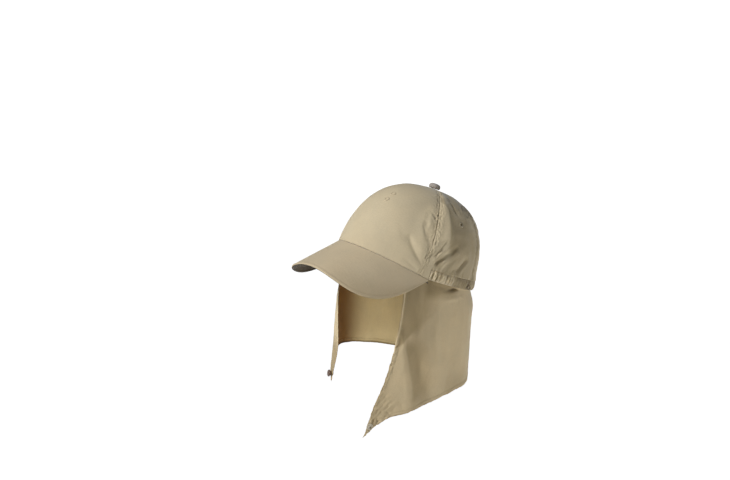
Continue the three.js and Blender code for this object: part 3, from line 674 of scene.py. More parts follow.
def front_seam_az(lat):
    """Azimuth of the front seam at a latitude, on the left side."""
    return lerp(FRONT_SEAM, FRONT_SEAM_TOP, np.clip(lat / SEAM_TOP_ANGLE, 0, 1)) + 1.9 * np.exp(-(((lat - 20) / 24) ** 2)) * smooth(lat / 8)


def seam_length(az_fn, lats):
    P = crown_point(az_fn(lats), lats)
    s = np.concatenate([[0], np.cumsum(np.linalg.norm(np.diff(P, axis=0), axis=1))])
    return s


LATS = np.linspace(0, 89, 400)
SEAM_S = {"front": seam_length(front_seam_az, LATS), "back": seam_length(lambda l: BACK_SEAM + 0 * l, LATS),
          "centre": seam_length(lambda l: 180 + 0 * l, LATS)}
STITCH_ROW = 3.6  # mm from a crown seam to its topstitch


def spokes(seed, length, count, low, high, reach, depth, width, lean):
    """Random short creases that leave a seam: place along it, place out, direction, length, half width, depth."""
    g = np.random.default_rng(seed)
    out = []
    for i in range(count):
        s = lerp(low, high, (i + g.uniform(0.1, 0.9)) / count) * length
        lng = g.uniform(*reach)
        ang = math.radians(g.uniform(*lean)) * g.choice([-1, 1], p=[0.3, 0.7])
        d0 = g.uniform(0.5, 3.2)
        out.append((s, d0, s + lng * math.sin(ang), d0 + lng * math.cos(ang), g.uniform(*width), g.uniform(*depth)))
    return out


def spoke_depth(d, s, list_):
    h = np.zeros(np.broadcast(d, s).shape)
    for s0, d0, s1, d1, half, depth in list_:
        us, ud = s1 - s0, d1 - d0
        k = np.clip(((s - s0) * us + (d - d0) * ud) / (us * us + ud * ud), 0, 1)
        ds, dd = s - (s0 + us * k), d - (d0 + ud * k)
        r2 = (ds * ds + dd * dd) / (half * half)
        h += depth * np.exp(-r2) * (1 - 0.55 * k) - 0.5 * depth * np.exp(-((np.sqrt(r2) - 1.8) ** 2) / 0.6) * (1 - 0.6 * k)
    return h


# how puckered each seam is: count, share of the way up, reach, depth, half width, lean in degrees
SEAM_PUCKERS = {
    ("front", 1, 0): spokes(11, 155, 24, 0.04, 0.86, (6, 15), (0.35, 0.85), (1.1, 2.1), (25, 70)),
    ("front", 1, 1): spokes(12, 155, 26, 0.10, 0.86, (3, 8), (0.3, 0.65), (0.9, 1.5), (25, 70)),
    ("front", -1, 0): spokes(21, 155, 24, 0.04, 0.86, (6, 15), (0.35, 0.85), (1.1, 2.1), (25, 70)),
    ("front", -1, 1): spokes(22, 155, 24, 0.10, 0.86, (4, 11), (0.35, 0.85), (1.1, 2.0), (25, 70)),
    ("back", 1, 0): spokes(31, 140, 20, 0.14, 0.92, (4, 10), (0.3, 0.8), (0.9, 1.6), (10, 50)),
    ("back", 1, 1): spokes(32, 140, 20, 0.14, 0.92, (4, 10), (0.3, 0.8), (0.9, 1.6), (10, 50)),
    ("back", -1, 0): spokes(41, 140, 20, 0.14, 0.92, (4, 10), (0.3, 0.8), (0.9, 1.6), (10, 50)),
    ("back", -1, 1): spokes(42, 140, 20, 0.14, 0.92, (4, 10), (0.3, 0.8), (0.9, 1.6), (10, 50)),
    ("centre", 1, 0): spokes(51, 140, 18, 0.14, 0.92, (4, 9), (0.3, 0.7), (0.9, 1.6), (10, 50)),
    ("centre", -1, 0): spokes(52, 140, 18, 0.14, 0.92, (4, 9), (0.3, 0.7), (0.9, 1.6), (10, 50)),
}

# Larger soft forms seen on the worn hat: azimuth and latitude at both ends, half width, depth, one side only (0 both).
FORMS = [
    # puffed cloth behind the front seam: its crest, then the corner where it turns back down to the seam
    (86, 46, 90, 28, 9.0, 0.8, 0),
    # sharp folds that run up from the end of the casing, dark and light in turn
    (69.3, 11.5, 73.5, 18.5, 1.0, 0.9, 0), (70.5, 14.5, 76.8, 27.0, 1.3, 0.9, 0), (72, 15, 79, 26, 2.4, 0.7, 0), (71.0, 12.5, 76, 19, 1.5, -0.7, 0), (72.3, 9.8, 80, 18.5, 1.3, 0.75, 0),
    (76.5, 10.5, 83, 18.5, 1.8, -0.6, 0), (80, 7.5, 86, 20, 2.0, 0.5, 0), (85, 8, 92, 18, 2.2, -0.6, 0),
    (87, 20, 91, 23.5, 4.5, -1.0, 0), (95.3, 9.2, 102.6, 17.8, 0.85, 0.7, 0), (98.5, 8.6, 106, 16.5, 1.8, -0.5, 0), (89, 7.6, 93, 12, 1.5, 0.6, 0),
    (81.2, 65, 84.6, 53, 1.7, 1.1, 0), (84, 66, 88, 52, 3.0, -0.5, 0), (92, 66, 95, 52, 2.4, 0.5, 0),
    # the front panel beside the seam
    (54.2, 43, 53.6, 31, 3.0, 0.7, 0), (53.8, 31, 57.5, 25, 1.9, 1.2, 0), (57.6, 37, 58.5, 29, 1.8, -0.8, 0),
    (45.5, 20, 52, 13, 2.0, 0.9, 0), (52, 13, 62, 6.2, 1.8, 1.0, 0), (49, 4.6, 59.5, 1.9, 2.4, 0.9, 0), (36, 24, 44, 14, 4.0, 0.5, 1),
    (104, 34, 112, 20, 6.0, 1.0, 0), (106, 60, 112, 44, 6.0, 0.9, 0), (134, 30, 146, 16, 4.5, 1.3, 0), (160, 34, 168, 18, 4.0, 1.2, 0),
    (140, 60, 150, 42, 6.0, -0.9, 0), (12, 78, -14, 82, 7.0, 0.7, 0), (30, 74, 44, 78, 5.0, 0.8, 0), (-30, 66, -44, 54, 8, 0.8, -1),
]


def form_depth(azd, latd):
    a, r = wrap(azd), np.maximum(0, np.cos(rad(latd))) ** 0.8
    d = 0
    for a0, l0, a1, l1, half, depth, side in FORMS:
        for sg in ((1, -1) if side == 0 else (side,)):
            b0, b1 = (a0 * sg, a1 * sg) if side == 0 else (a0, a1)
            ux, uy = (b1 - b0) * 1.65 * r, (l1 - l0) * 1.95
            px, py = (a - b0) * 1.65 * r, (latd - l0) * 1.95
            k = np.clip((px * ux + py * uy) / (ux * ux + uy * uy), 0, 1)
            q2 = ((px - ux * k) ** 2 + (py - uy * k) ** 2) / (half * half)
            taper = 0.55 + 0.45 * np.sin(np.pi * np.clip(k, 0.0, 1.0))
            d = d + depth * taper * np.exp(-np.sqrt(q2 * q2 + 1e-6) if half < 3 else -q2)
    return d


def eased(x, y, width, lo=0.0, hi=90.0):
    """A short table turned into a line without corners."""
    g = np.linspace(lo - 20, hi + 20, 1301)
    f = np.interp(g, x, y)
    k = np.exp(-((np.arange(-200, 201) * (g[1] - g[0]) / width) ** 2))
    return g, np.convolve(np.pad(f, 200, mode="edge"), k / k.sum(), mode="valid")


CREST = eased([6, 12.5, 18.2, 23.5, 28.2, 33.5, 37.5, 44, 60.8, 74], [69, 70.2, 72.6, 75.8, 78.5, 78.8, 76.8, 73.6, 69.2, 67], 3.2)
CREST_TALL = eased([5, 11, 18, 26, 34, 46, 58, 70, 80], [0, 0.9, 2.2, 3.4, 4.0, 3.3, 2.1, 0.9, 0], 3.0)


def puff(azd, lat):
    """The side cloth stands off behind each front seam: a slow rise from the seam to a crest, then a quick turn back, in mm."""
    a = np.abs(wrap(azd))
    lat = np.asarray(lat, float)
    crest = np.interp(lat, *CREST)
    tall = np.interp(lat, *CREST_TALL)
    u = (a - crest) * mm_per_degree(azd, lat)
    w = np.maximum(6.0, (crest - front_seam_az(lat)) * mm_per_degree(azd, lat))
    return tall * np.where(u < 0, smooth(1 + u / w), 0.5 * np.exp(-((u / 5.0) ** 2)) + 0.5 * np.exp(-((u / 30.0) ** 2)))


def gathers(azd, seed=5):
    """Gathers of the elastic, -1 to 1: valleys a little sharper than the ridges."""
    a = np.asarray(azd, float)
    x = a * 1.72 / 6.4
    ph = x + 0.42 * noise(x * 0.55, 0.3 + 0 * x, seed) * 2
    g = np.abs(np.sin(np.pi * ph))
    return 2 * (1 - (1 - g) ** 1.6) - 1 + 0.35 * noise(x * 2.1, 7.7 + 0 * x, seed + 1)


def seam_slits(side, flank, d, s):
    return fbm(s / 4.4 + 0.5 * d, d / 1.5, 161 + (side > 0) * 3 + flank * 5, 2)


def seam_relief(kind, side, flank, d, lat):
    """Height in mm at a distance d from a seam: groove, raised welt, topstitched row and the puckers that leave it."""
    s = np.interp(lat, LATS, SEAM_S[kind])
    d = np.abs(d)
    top = 1 - smooth((lat - 82) / 6)
    busy = np.interp(lat, [0, 6, 14, 40, 52, 66, 78, 90], [0.6, 0.8, 1.0, 1.0, 0.75, 0.5, 0.25, 0.1]) * (1.0 if kind == "front" else 0.75)
    h = -0.16 * bump(d, 0.5)
    uneven = 0.75 + 0.55 * fbm(s / 6.5, 0 * d + 3.1, 171 + flank, 2)
    h = h + 0.24 * uneven * smooth(d / 2.0) * (1 - smooth((d - STITCH_ROW - 0.6) / 2.4))
    pulse = 0.5 + 0.5 * np.cos(2 * np.pi * s / 2.9)
    h = h - (0.20 + 0.26 * pulse) * bump(d - STITCH_ROW, 0.65)
    # narrow drawn creases between the rows, running up the seam at a slant
    slits = seam_slits(side, flank, d, s)
    h = h + 0.46 * slits * busy * bump(np.maximum(0, d - 5.0), 3.0) * smooth(d / 0.7)
    # drawn-up cloth between and beside the rows: small lozenges, longer than they are wide
    lump = fbm(s / 5.6 + 0.35 * d, d / 4.2, 61 + (side > 0) * 3 + flank * 5, 2)
    h = h + 0.5 * lump * busy * bump(np.maximum(0, d - STITCH_ROW), 4.5) * smooth(d / 1.2)
    reach = (1 - smooth((d - 6) / 3)) if flank else 0.62
    h = h - spoke_depth(d, s, SEAM_PUCKERS[(kind, side, flank)]) * busy * reach
    return h * top


def crown_relief(az, lat):
    """Fine height of the crown cloth over the part's own surface, in mm, and painted shade (-) in its seam grooves,
    along the stitch rows and in the drawn creases.
    """
    a = wrap(az)
    mm = mm_per_degree(az, lat)
    h = np.zeros(np.broadcast(az, lat).shape)
    groove = np.zeros_like(h)
    for side in (1, -1):
        # front seam
        d = (a * side - front_seam_az(lat)) * mm
        near = np.abs(d) < 26
        flank = (d > 0).astype(int)
        for fl in (0, 1):
            m = near & (flank == fl) & (a * side > 0)
            if m.any():
                lm = np.broadcast_to(lat, h.shape)[m]
                h[m] += seam_relief("front", side, fl, d[m], lm)
                sl = seam_slits(side, fl, np.abs(d[m]), np.interp(lm, LATS, SEAM_S["front"]))
                # painted shade in the drawn creases beside the seam, in the seam groove and along the stitch row
                groove[m] -= 0.8 * np.clip(-sl - 0.05, 0, 1) * bump(np.maximum(0, np.abs(d[m]) - 4.5), 2.5) * (1 - smooth((lm - 76) / 8))
                groove[m] -= 0.45 * bump(np.abs(d[m]), 0.9) + 0.3 * bump(np.abs(d[m]) - STITCH_ROW, 0.8)
        d = (a * side - BACK_SEAM) * mm
        near = np.abs(d) < 24
        for fl in (0, 1):
            m = near & ((d > 0) == bool(fl)) & (a * side > 0)
            if m.any():
                h[m] += seam_relief("back", side, fl, d[m], np.broadcast_to(lat, h.shape)[m])
                # painted shade in the seam groove and along the stitch row
                groove[m] -= 0.45 * bump(np.abs(d[m]), 0.9) + 0.3 * bump(np.abs(d[m]) - STITCH_ROW, 0.8)
    d = wrap(np.asarray(az, float) - 180) * mm
    for side in (1, -1):
        m = (np.abs(d) < 22) & ((d < 0) == (side > 0))
        if m.any():
            h[m] += seam_relief("centre", side, 0, d[m], np.broadcast_to(lat, h.shape)[m])
            # painted shade in the seam groove and along the stitch row
            groove[m] -= 0.45 * bump(np.abs(d[m]), 0.9) + 0.3 * bump(np.abs(d[m]) - STITCH_ROW, 0.8)
    h = h - form_depth(az, lat) + puff(az, lat)
    x, y = seam_mm(a, lat)
    rear = smooth((np.abs(a) - 58) / 14)
    h = h + (0.10 + 0.32 * rear) * fbm(x / 26, y / 30, 3, 3) + 0.05 * fbm(x / 7, y / 7, 9, 2)
    # over the casing the cloth is drawn up with the elastic
    up = (np.asarray(lat) - lat_above(az, CASING_HEIGHT + 0.6)) * 1.95
    behind = smooth((np.abs(a) - CASING_START) / 2)
    h = h + behind * (0.75 * gathers(a) + 0.25) * np.exp(-np.maximum(0, up) / 6.5)
    return h * smooth((np.asarray(lat) + 1.5) / 3.0), groove


def crown_face(az, lat):
    P = crown_point(az, lat)
    n = crown_normal(az, lat)
    h, groove = crown_relief(az, lat)
    return P + n * (h - crease_depth(az, lat))[..., None], groove


PANEL_WALL = 1.1
EYELETS = [("eyelet_front_upper", 6.5, 48.5), ("eyelet_front_lower", 6.5, 41), ("eyelet_side_left", 91, 42.6),
           ("eyelet_side_right", -91, 42.6), ("eyelet_back_left", 150.5, 42), ("eyelet_back_right", -150.5, 42)]


def shade_of(az, lat):
    """Painted shade behind the puffed crest on the crown's sides, uneven."""
    a = np.abs(wrap(az))
    x, y = seam_mm(a, lat)
    crest = np.interp(lat, [6, 18.2, 28.2, 37.5, 44, 60.8, 74, 84], [78, 80, 80, 78, 74.5, 70, 68, 66])
    tone = np.interp(lat, [10, 28, 36, 42, 50, 58, 66], [-1.5, -2.1, -1.5, -0.1, -0.1, -1.5, -2.2])
    rest = (tone - 0.25 * fbm(x / 30, y / 26, 303, 2)) * smooth((a - crest) / 7) * (1 - smooth((a - 122) / 10)) * (1 - smooth((lat - 80) / 6))
    # painted shade in the hollow close behind the crest, painted highlights on both sides of the seam, and painted
    # shade low at the casing's corner
    c = np.interp(lat, [22, 28, 34, 42, 50, 57, 66], [79, 77, 75.3, 73.8, 72.5, 65, 62])
    tail = np.interp(lat, [32, 42, 50, 60], [0.0, 0.5, 0.5, 0.1])
    hollow = -np.interp(lat, [22, 30, 46, 56], [1.6, 2.2, 2.2, 1.6]) * smooth((a - c) / 3.2) * (1 - (1 - tail) * smooth((a - c - 3) / 8)) * (1 - smooth((a - 100) / 12)) * smooth((lat - 17) / 6) * (1 - smooth((lat - 62) / 6))
    b = np.interp(lat, [12, 20, 26, 33, 40, 46, 52], [56, 54, 52, 51, 52, 54, 55])
    light = 1.1 * np.exp(-(((a - b) / 6.0) ** 2)) * smooth((lat - 8) / 8) * (1 - smooth((lat - 46) / 10))
    light = light + 0.9 * np.exp(-(((a - 71) / 4.5) ** 2) - ((lat - 27) / 7.0) ** 2)
    corner = -1.8 * np.exp(-(((a - 75) / 3.5) ** 2) - ((lat - 11) / 5.0) ** 2)
    return rest + hollow + light + corner




def plain_foot(az):
    return 0.0 * az


def casing_foot(az):
    return np.where(np.abs(wrap(az)) < CASING_START - 1.5 * CASING_STEP, 0.0, lat_above(az, CASING_HEIGHT + 0.12))


def crown_panel(name, left, right, us, rows, foot_of):
    """A panel between two seam lines (functions of the share of the way up)."""
    v = rows[:, None]
    # columns crowd together at the foot where the casing starts, and spread evenly a little higher up
    gap = np.convolve(np.pad(np.diff(us), 12, mode="edge"), np.ones(25) / 25, mode="valid")
    even = np.concatenate([[0.0], np.cumsum(gap)])
    even = even / even[-1]
    u = us[None, :] + (even - us)[None, :] * smooth((v - 0.05) / 0.16)
    foot = foot_of(lerp(left(v), right(v), us[None, :]))
    rough = lerp(left(v), right(v), u)
    # the step in the foot dies out a little way up, so the columns on both sides of it run level again
    level = lat_above(rough, CASING_HEIGHT + 0.12) if foot_of is casing_foot else foot
    step = np.abs(np.diff(foot[0])) > 0.8
    beside = np.convolve(np.concatenate([step, [False]]).astype(float), np.ones(7), mode="same") > 0.5
    lat = lerp(lerp(foot, level, smooth((v - 0.01) / 0.24)), SEAM_TOP_ANGLE, v)
    slack = np.minimum(6, (0.03 / np.maximum(0.3, mm_per_degree(rough, lat))))
    az = lerp(left(v) + slack, right(v) - slack, u)
    P, groove = crown_face(az, lat)
    n = grid_normals(P)
    if np.einsum("ijk,ijk->ij", n, crown_normal(az, lat)).mean() < 0:
        n = -n
    n[:, beside] = crown_normal(az, lat)[:, beside]
    inner = P - n * PANEL_WALL
    x, y = seam_mm(wrap(az), lat)
    uv = np.stack([np.broadcast_to(x, P.shape[:2]), np.broadcast_to(y, P.shape[:2])], -1)
    hole = np.zeros((P.shape[0] - 1, P.shape[1] - 1), bool)
    C = 0.25 * (P[:-1, :-1] + P[1:, :-1] + P[:-1, 1:] + P[1:, 1:])
    for key, ea, el in EYELETS:
        if "front" not in key:
            q = crown_face(np.array([[ea]], float), np.array([[el]], float))[0][0, 0]
            hole |= np.linalg.norm(C - q, axis=-1) < 1.75
    # shade_of gives painted shade and painted highlights; with the painted shade of the seam grooves they go on the
    # outer face
    dark = shade_of(az, lat) if shade_of else 0
    return shell(name, P, inner, uv, {"painted_light_shade_and_wear": (groove * 0.8 + dark, groove * 0)}, [CLOTH], hole)


ROWS = graded(158, 0.8, 1.25, 14, 6)
front_us = graded(205, 0.62, 1.7, 22, 22)
back_us = graded(96, 0.7, 1.5, 16, 16)
# the side panel's columns stand close together where its foot steps up to the casing
side_deg = np.concatenate([np.linspace(FRONT_SEAM, CASING_START - 2 * CASING_STEP, 18), [CASING_START - 1.6 * CASING_STEP, CASING_START - 1.4 * CASING_STEP],
                           np.linspace(CASING_START - CASING_STEP, 84, 20)[0:], np.linspace(84.9, BACK_SEAM - 8, 34), np.linspace(BACK_SEAM - 7.5, BACK_SEAM, 18)])
side_us = (side_deg - side_deg[0]) / (side_deg[-1] - side_deg[0])

panels = {}
panels["front_panel"] = crown_panel("front_panel_cloth", lambda v: -front_seam_az(v * SEAM_TOP_ANGLE), lambda v: front_seam_az(v * SEAM_TOP_ANGLE), front_us, ROWS, plain_foot)
panels["side_panel_left"] = crown_panel("side_panel_left_cloth", lambda v: front_seam_az(v * SEAM_TOP_ANGLE), lambda v: BACK_SEAM + 0 * v, side_us, ROWS, casing_foot)
panels["side_panel_right"] = crown_panel("side_panel_right_cloth", lambda v: -BACK_SEAM + 0 * v, lambda v: -front_seam_az(v * SEAM_TOP_ANGLE), (1 - side_us)[::-1], ROWS, casing_foot)
panels["back_panel_left"] = crown_panel("back_panel_left_cloth", lambda v: BACK_SEAM + 0 * v, lambda v: 180 + 0 * v, back_us, ROWS, casing_foot)
panels["back_panel_right"] = crown_panel("back_panel_right_cloth", lambda v: 180 + 0 * v, lambda v: 360 - BACK_SEAM + 0 * v, back_us, ROWS, casing_foot)
for node, o in panels.items():
    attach(o, "root")
    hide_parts(node)


# the turned-in edges of the panels, pressed flat behind each seam
def seam_allowance(name, az_fn, lo, hi=82.0):
    lat = np.linspace(lo, hi, 230)[:, None]
    off = np.array([-3.8, -3.0, -2.1, -1.3, -0.45, 0.45, 1.3, 2.1, 3.0, 3.8])[None, :]
    az = az_fn(lat) + off / mm_per_degree(az_fn(lat), lat)
    face = crown_face(az, lat)[0]
    n = crown_normal(az, lat)
    h = np.einsum("ijk,ijk->ij", face - crown_point(az, lat), n)
    g = np.pad(h, ((1, 1), (1, 1)), mode="edge")
    least = np.min([g[1 + a:g.shape[0] - 1 + a, 1 + b:g.shape[1] - 1 + b] for a in (-1, 0, 1) for b in (-1, 0, 1)], axis=0)
    g = np.pad(least, ((3, 3), (0, 0)), mode="edge")
    level = sum(g[k:k + h.shape[0]] for k in range(7)) / 7
    edge = 0.35 * (np.abs(off) > 3.5)
    outer = crown_point(az, lat) + n * (level - PANEL_WALL - 0.05)[..., None]
    inner = crown_point(az, lat) + n * (level - PANEL_WALL - 0.75 + edge)[..., None]
    x, y = seam_mm(wrap(az), lat)
    uv = np.stack([np.broadcast_to(x, h.shape), np.broadcast_to(y, h.shape)], -1)
    o = shell(name, outer, inner, uv, {"painted_light_shade_and_wear": (0 * h, -0.3 * (np.abs(off) > 3.5) + 0 * h)}, [CLOTH])
    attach(o, "root")


LOW_FRONT, LOW_BACK = 9.0, float(lat_above(BACK_SEAM, CASING_HEIGHT + 1.0))
seam_allowance("seam_allowance_front_left", lambda l: front_seam_az(l), LOW_FRONT)
seam_allowance("seam_allowance_front_right", lambda l: -front_seam_az(l), LOW_FRONT)
seam_allowance("seam_allowance_back_left", lambda l: BACK_SEAM + 0 * l, LOW_BACK)
seam_allowance("seam_allowance_back_right", lambda l: -BACK_SEAM + 0 * l, LOW_BACK)
seam_allowance("seam_allowance_centre", lambda l: 180.0 + 0 * l, float(lat_above(180.0, CASING_HEIGHT + 1.0)))


# topstitching on both sides of each crown seam
def crown_row(az_fn, offset, lo, hi, lift=0.0):
    lat = np.linspace(lo, hi, 260)
    az = az_fn(lat) + offset / mm_per_degree(az_fn(lat), lat)
    P, _ = crown_face(az[None, :], lat[None, :])
    N = crown_normal(az, lat)
    return P[0] + N * lift, N


rows_ = []
for side in (1, -1):
    for off in (-STITCH_ROW, STITCH_ROW):
        lo = 1.2 if off < 0 else 2.0
        rows_.append(crown_row(lambda l, sd=side: sd * front_seam_az(l), side * off, lo, 83))
        rows_.append(crown_row(lambda l, sd=side: sd * BACK_SEAM + 0 * l, side * off, float(lat_above(BACK_SEAM, CASING_HEIGHT + 2.0)), 83))
for off in (-STITCH_ROW, STITCH_ROW):
    rows_.append(crown_row(lambda l: 180 + 0 * l, off, float(lat_above(180.0, CASING_HEIGHT + 2.0)), 83))
crown_stitches = stitches("crown_topstitch", rows_, THREAD)
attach(crown_stitches, "root")


# ------------------------------------------------------------------ bill
def on_bill(x, f):
    return np.stack([x, -f, ROOT_Z - TB * (f - ROOT_F) - arch_drop(x)], -1)


def bill_normal(x):
    s = x / np.sqrt(BILL_ARCH ** 2 - x * x)
    return unit(np.stack([s, np.full_like(s, -TB), np.ones_like(s)], -1))


def spow(x, p):
    return np.sign(x) * np.abs(x) ** p


def bill_outline(w):
    corner = crown_point(BILL_CORNER, 0.0)
    S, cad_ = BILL_ARCH * math.asin(corner[0] / BILL_ARCH), -corner[1]
    reach = ROOT_F + BILL_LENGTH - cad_
    al = w * np.pi / 2
    s = S * spow(np.sin(al), 2 / BILL_POWER)
    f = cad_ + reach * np.abs(np.cos(al)) ** (2 / BILL_POWER)
    return BILL_ARCH * np.sin(s / BILL_ARCH), f


def bill_piece():
    END = 0.985
    nw = 230
    w = np.linspace(-END, END, nw)[None, :]
    # section: 0 root top -> 1 edge top, then round the edge and back along the underside
    flat = np.concatenate([np.linspace(0, 0.9, 52), np.linspace(0.9, 1.0, 20)[1:]])[:, None]
    root = crown_point(w[0] * BILL_CORNER, 0.0 * w[0])
    away = unit(np.stack([root[:, 0] / HALF_WIDTH, root[:, 1] / HALF_LENGTH], -1))
    ex, ef = bill_outline(w[0])

    def face(v, under):
        clear = (0.1 + (1.5 if under else 0)) * (1 - v)
        x = lerp(root[:, 0][None] + away[:, 0][None] * clear, ex[None], v)
        f = lerp(-(root[:, 1][None] + away[:, 1][None] * clear), ef[None], v)
        # the wearer's right corner is bent a little further down and out than the left one
        bent = np.exp(-(((w + 0.57) / 0.27) ** 2)) * v * v
        out = np.exp(-(((w + 0.32) / 0.2) ** 2)) * v
        P = on_bill(x, f) + np.stack([-1.2 * out - 0.6 * bent, -2.1 * out, -4.2 * bent], -1)
        N = bill_normal(x)
        reach = np.hypot(ex - root[:, 0], ef + root[:, 1])[None]
        to_edge = (1 - v) * reach  # mm back from the front edge
        round_ = 1 - np.sqrt(np.clip(1 - (1 - np.clip(to_edge / 1.5, 0, 1)) ** 2, 0, 1))
        half = BILL_THICKNESS / 2
        arc = np.arctan2(x, 84.0) * 84
        h = 0.10 * fbm(arc / 30, f / 22, 5 + under, 3) + 0.03 * fbm(arc / 6, f / 6, 15 + under, 2)
        roll = 0.20 * smooth((3.9 - to_edge) / 1.4) - 0.18 * bump(to_edge - 4.3, 0.8)  # the turned edge and the groove behind it
        tuck = -0.5 * bump(to_edge * 0 + v * reach, 1.4) * (0.35 + 0.65 * smooth((np.abs(w) - 0.4) / 0.3))  # drawn down where it meets the crown
        pull = 0.16 * fbm(arc / 5.0, f / 40, 33, 2) * np.exp(-(v * reach) / 7.0)
        h = h + roll * (1 - round_) + (tuck + pull if not under else 0.0)
        top = P - N * half + N * ((half * (1 - round_) * (-1 if under else 1)) + h * (-1 if under else 1) * (1 - round_))[..., None]
        # painted shade close to the front edge and in the groove behind the turned edge, a painted highlight along the
        # seam to the crown in the middle with painted shade along it at the sides, and painted shade over the front of
        # the wearer's left half of the top
        painted_light_shade_and_wear = -0.35 * smooth((2.2 - to_edge) / 1.8) - 0.3 * bump(to_edge - 4.3, 0.9) * (0 if under else 1) + (0.8 - 1.05 * smooth((np.abs(w) - 0.4) / 0.3)) * bump(v * reach, 1.5)
        painted_light_shade_and_wear = painted_light_shade_and_wear - 0.8 * smooth((v - 0.42) / 0.5) * smooth(w / 0.45) * (0 if under else 1)
        return top, np.stack([arc + 0 * v, f], -1), painted_light_shade_and_wear

    top, uv_t, wr_t = face(flat, False)
    low, uv_l, wr_l = face(flat, True)
    # both faces meet along the front edge in one line
    o = shell("bill_cloth", top, low, uv_t, {"painted_light_shade_and_wear": (wr_t, wr_l), "inside": (0 * wr_t, 1 + 0 * wr_l)}, [BILL_CLOTH])
    return o


bill = bill_piece()
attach(bill, "root")
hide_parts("bill")


# ------------------------------------------------------------------ elastic casing
def casing_piece():
    n = 880
    az = np.linspace(CASING_START, 360 - CASING_START, n)[None, :]
    m = 26
    v = np.linspace(0, 1, m)[:, None]
    g = gathers(wrap(az))
    endp = np.minimum((az - CASING_START), (360 - CASING_START - az)) * 1.72  # mm from an end
    tall = smooth(endp / 3.0)
    lat = lat_above(az, v * CASING_HEIGHT)
    P = crown_point(az, lat)
    N = crown_normal(az, np.maximum(2, lat))
    swell = CASING_PROUD * np.sin(np.pi * lerp(0.12, 0.88, v))
    mid = np.sin(np.pi * v)
    amp = 0.55 + 0.45 * noise(az / 16, 0 * az, 77) + 0.5 * (1 - smooth((np.abs(wrap(az)) - 90) / 6))
    near_end = np.exp(-np.maximum(0, endp - 4) / 22)  # the cloth bunches most beside the two ends
    h = swell + ((0.75 + 0.95 * near_end) * g * amp * (0.3 + 0.7 * mid)) * tall
    h = h + (0.3 + 0.5 * near_end) * fbm(az * 1.72 / 2.6, v * 2.4, 19, 2) * (0.4 + 0.6 * mid)
    # stitched near the top and the bottom fold
    h = h - 0.28 * (bump((v - 0.1) * CASING_HEIGHT, 0.6) + bump((v - 0.9) * CASING_HEIGHT, 0.6))
    # the end is turned under and tacked
    h = h - 0.5 * bump(endp - 2.6, 0.5) + 0.35 * (1 - smooth((endp - 1.2) / 1.2))
    roundv = 0.7 * (1 - np.sqrt(np.clip(1 - (2 * np.abs(v - 0.5)) ** 8, 0, 1)))
    h = np.clip(h - roundv, -1.3, 2.4)
    outer = P + N * h[..., None]
    back = h - 1.15
    inner = P + N * back[..., None]
    uv = np.stack([az * 1.72 + 0 * v, v * CASING_HEIGHT + 0 * az + 300], -1)
    # painted light and shade on the casing: a mottled lighter patch at the front end (pale), painted shade from about
    # 93 degrees back, painted highlights on the gather ridges, painted shade along the stitch lines and at the
    # turned-under end
    aa = np.abs(wrap(az))
    mottle = fbm(az * 1.72 / 5, v * 1.9, 205, 3)
    pale, casing_painted_shade = 1 - smooth((aa - 91) / 5), smooth((aa - 93) / 6) * (1 - smooth((aa - 152) / 14))
    painted_light_shade_and_wear = pale * (1.3 + 2.0 * mottle) - casing_painted_shade * (2.3 + 0.4 * mottle) - 0.8 * smooth((np.abs(wrap(az)) - 92) / 6) * (1 - smooth((np.abs(wrap(az)) - 118) / 10)) + 0.35 * g * mid * tall - 0.35 * (bump((v - 0.1) * CASING_HEIGHT, 0.7) + bump((v - 0.9) * CASING_HEIGHT, 0.7)) - 0.6 * bump(endp - 2.6, 0.7)
    o = shell("elastic_casing_cloth", outer, inner, uv, {"painted_light_shade_and_wear": (painted_light_shade_and_wear + 0 * v, 0 * painted_light_shade_and_wear + 0 * v)}, [CASING_CLOTH])
    rows = []
    for vv, span in ((0.1, None), (0.9, None)):
        j = int(round(vv * (m - 1)))
        rows.append((outer[j, 6:-6] + N[j, 6:-6] * 0.02, N[j, 6:-6]))
    for i in (int(np.argmin(np.abs(endp[0, : n // 2] - 2.6))), n - 1 - int(np.argmin(np.abs(endp[0, : n // 2] - 2.6)))):
        rows.append((outer[2:-2, i], N[2:-2, i]))
    return o, rows


casing, casing_rows = casing_piece()
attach(casing, "root")
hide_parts("elastic_casing")
casing_stitches = stitches("casing_stitches", casing_rows, THREAD, pitch=2.5, length=1.8, radius=0.22)
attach(casing_stitches, "root")


# ------------------------------------------------------------------ neck cape
HEM = 6.5  # mm, width of the turned hem
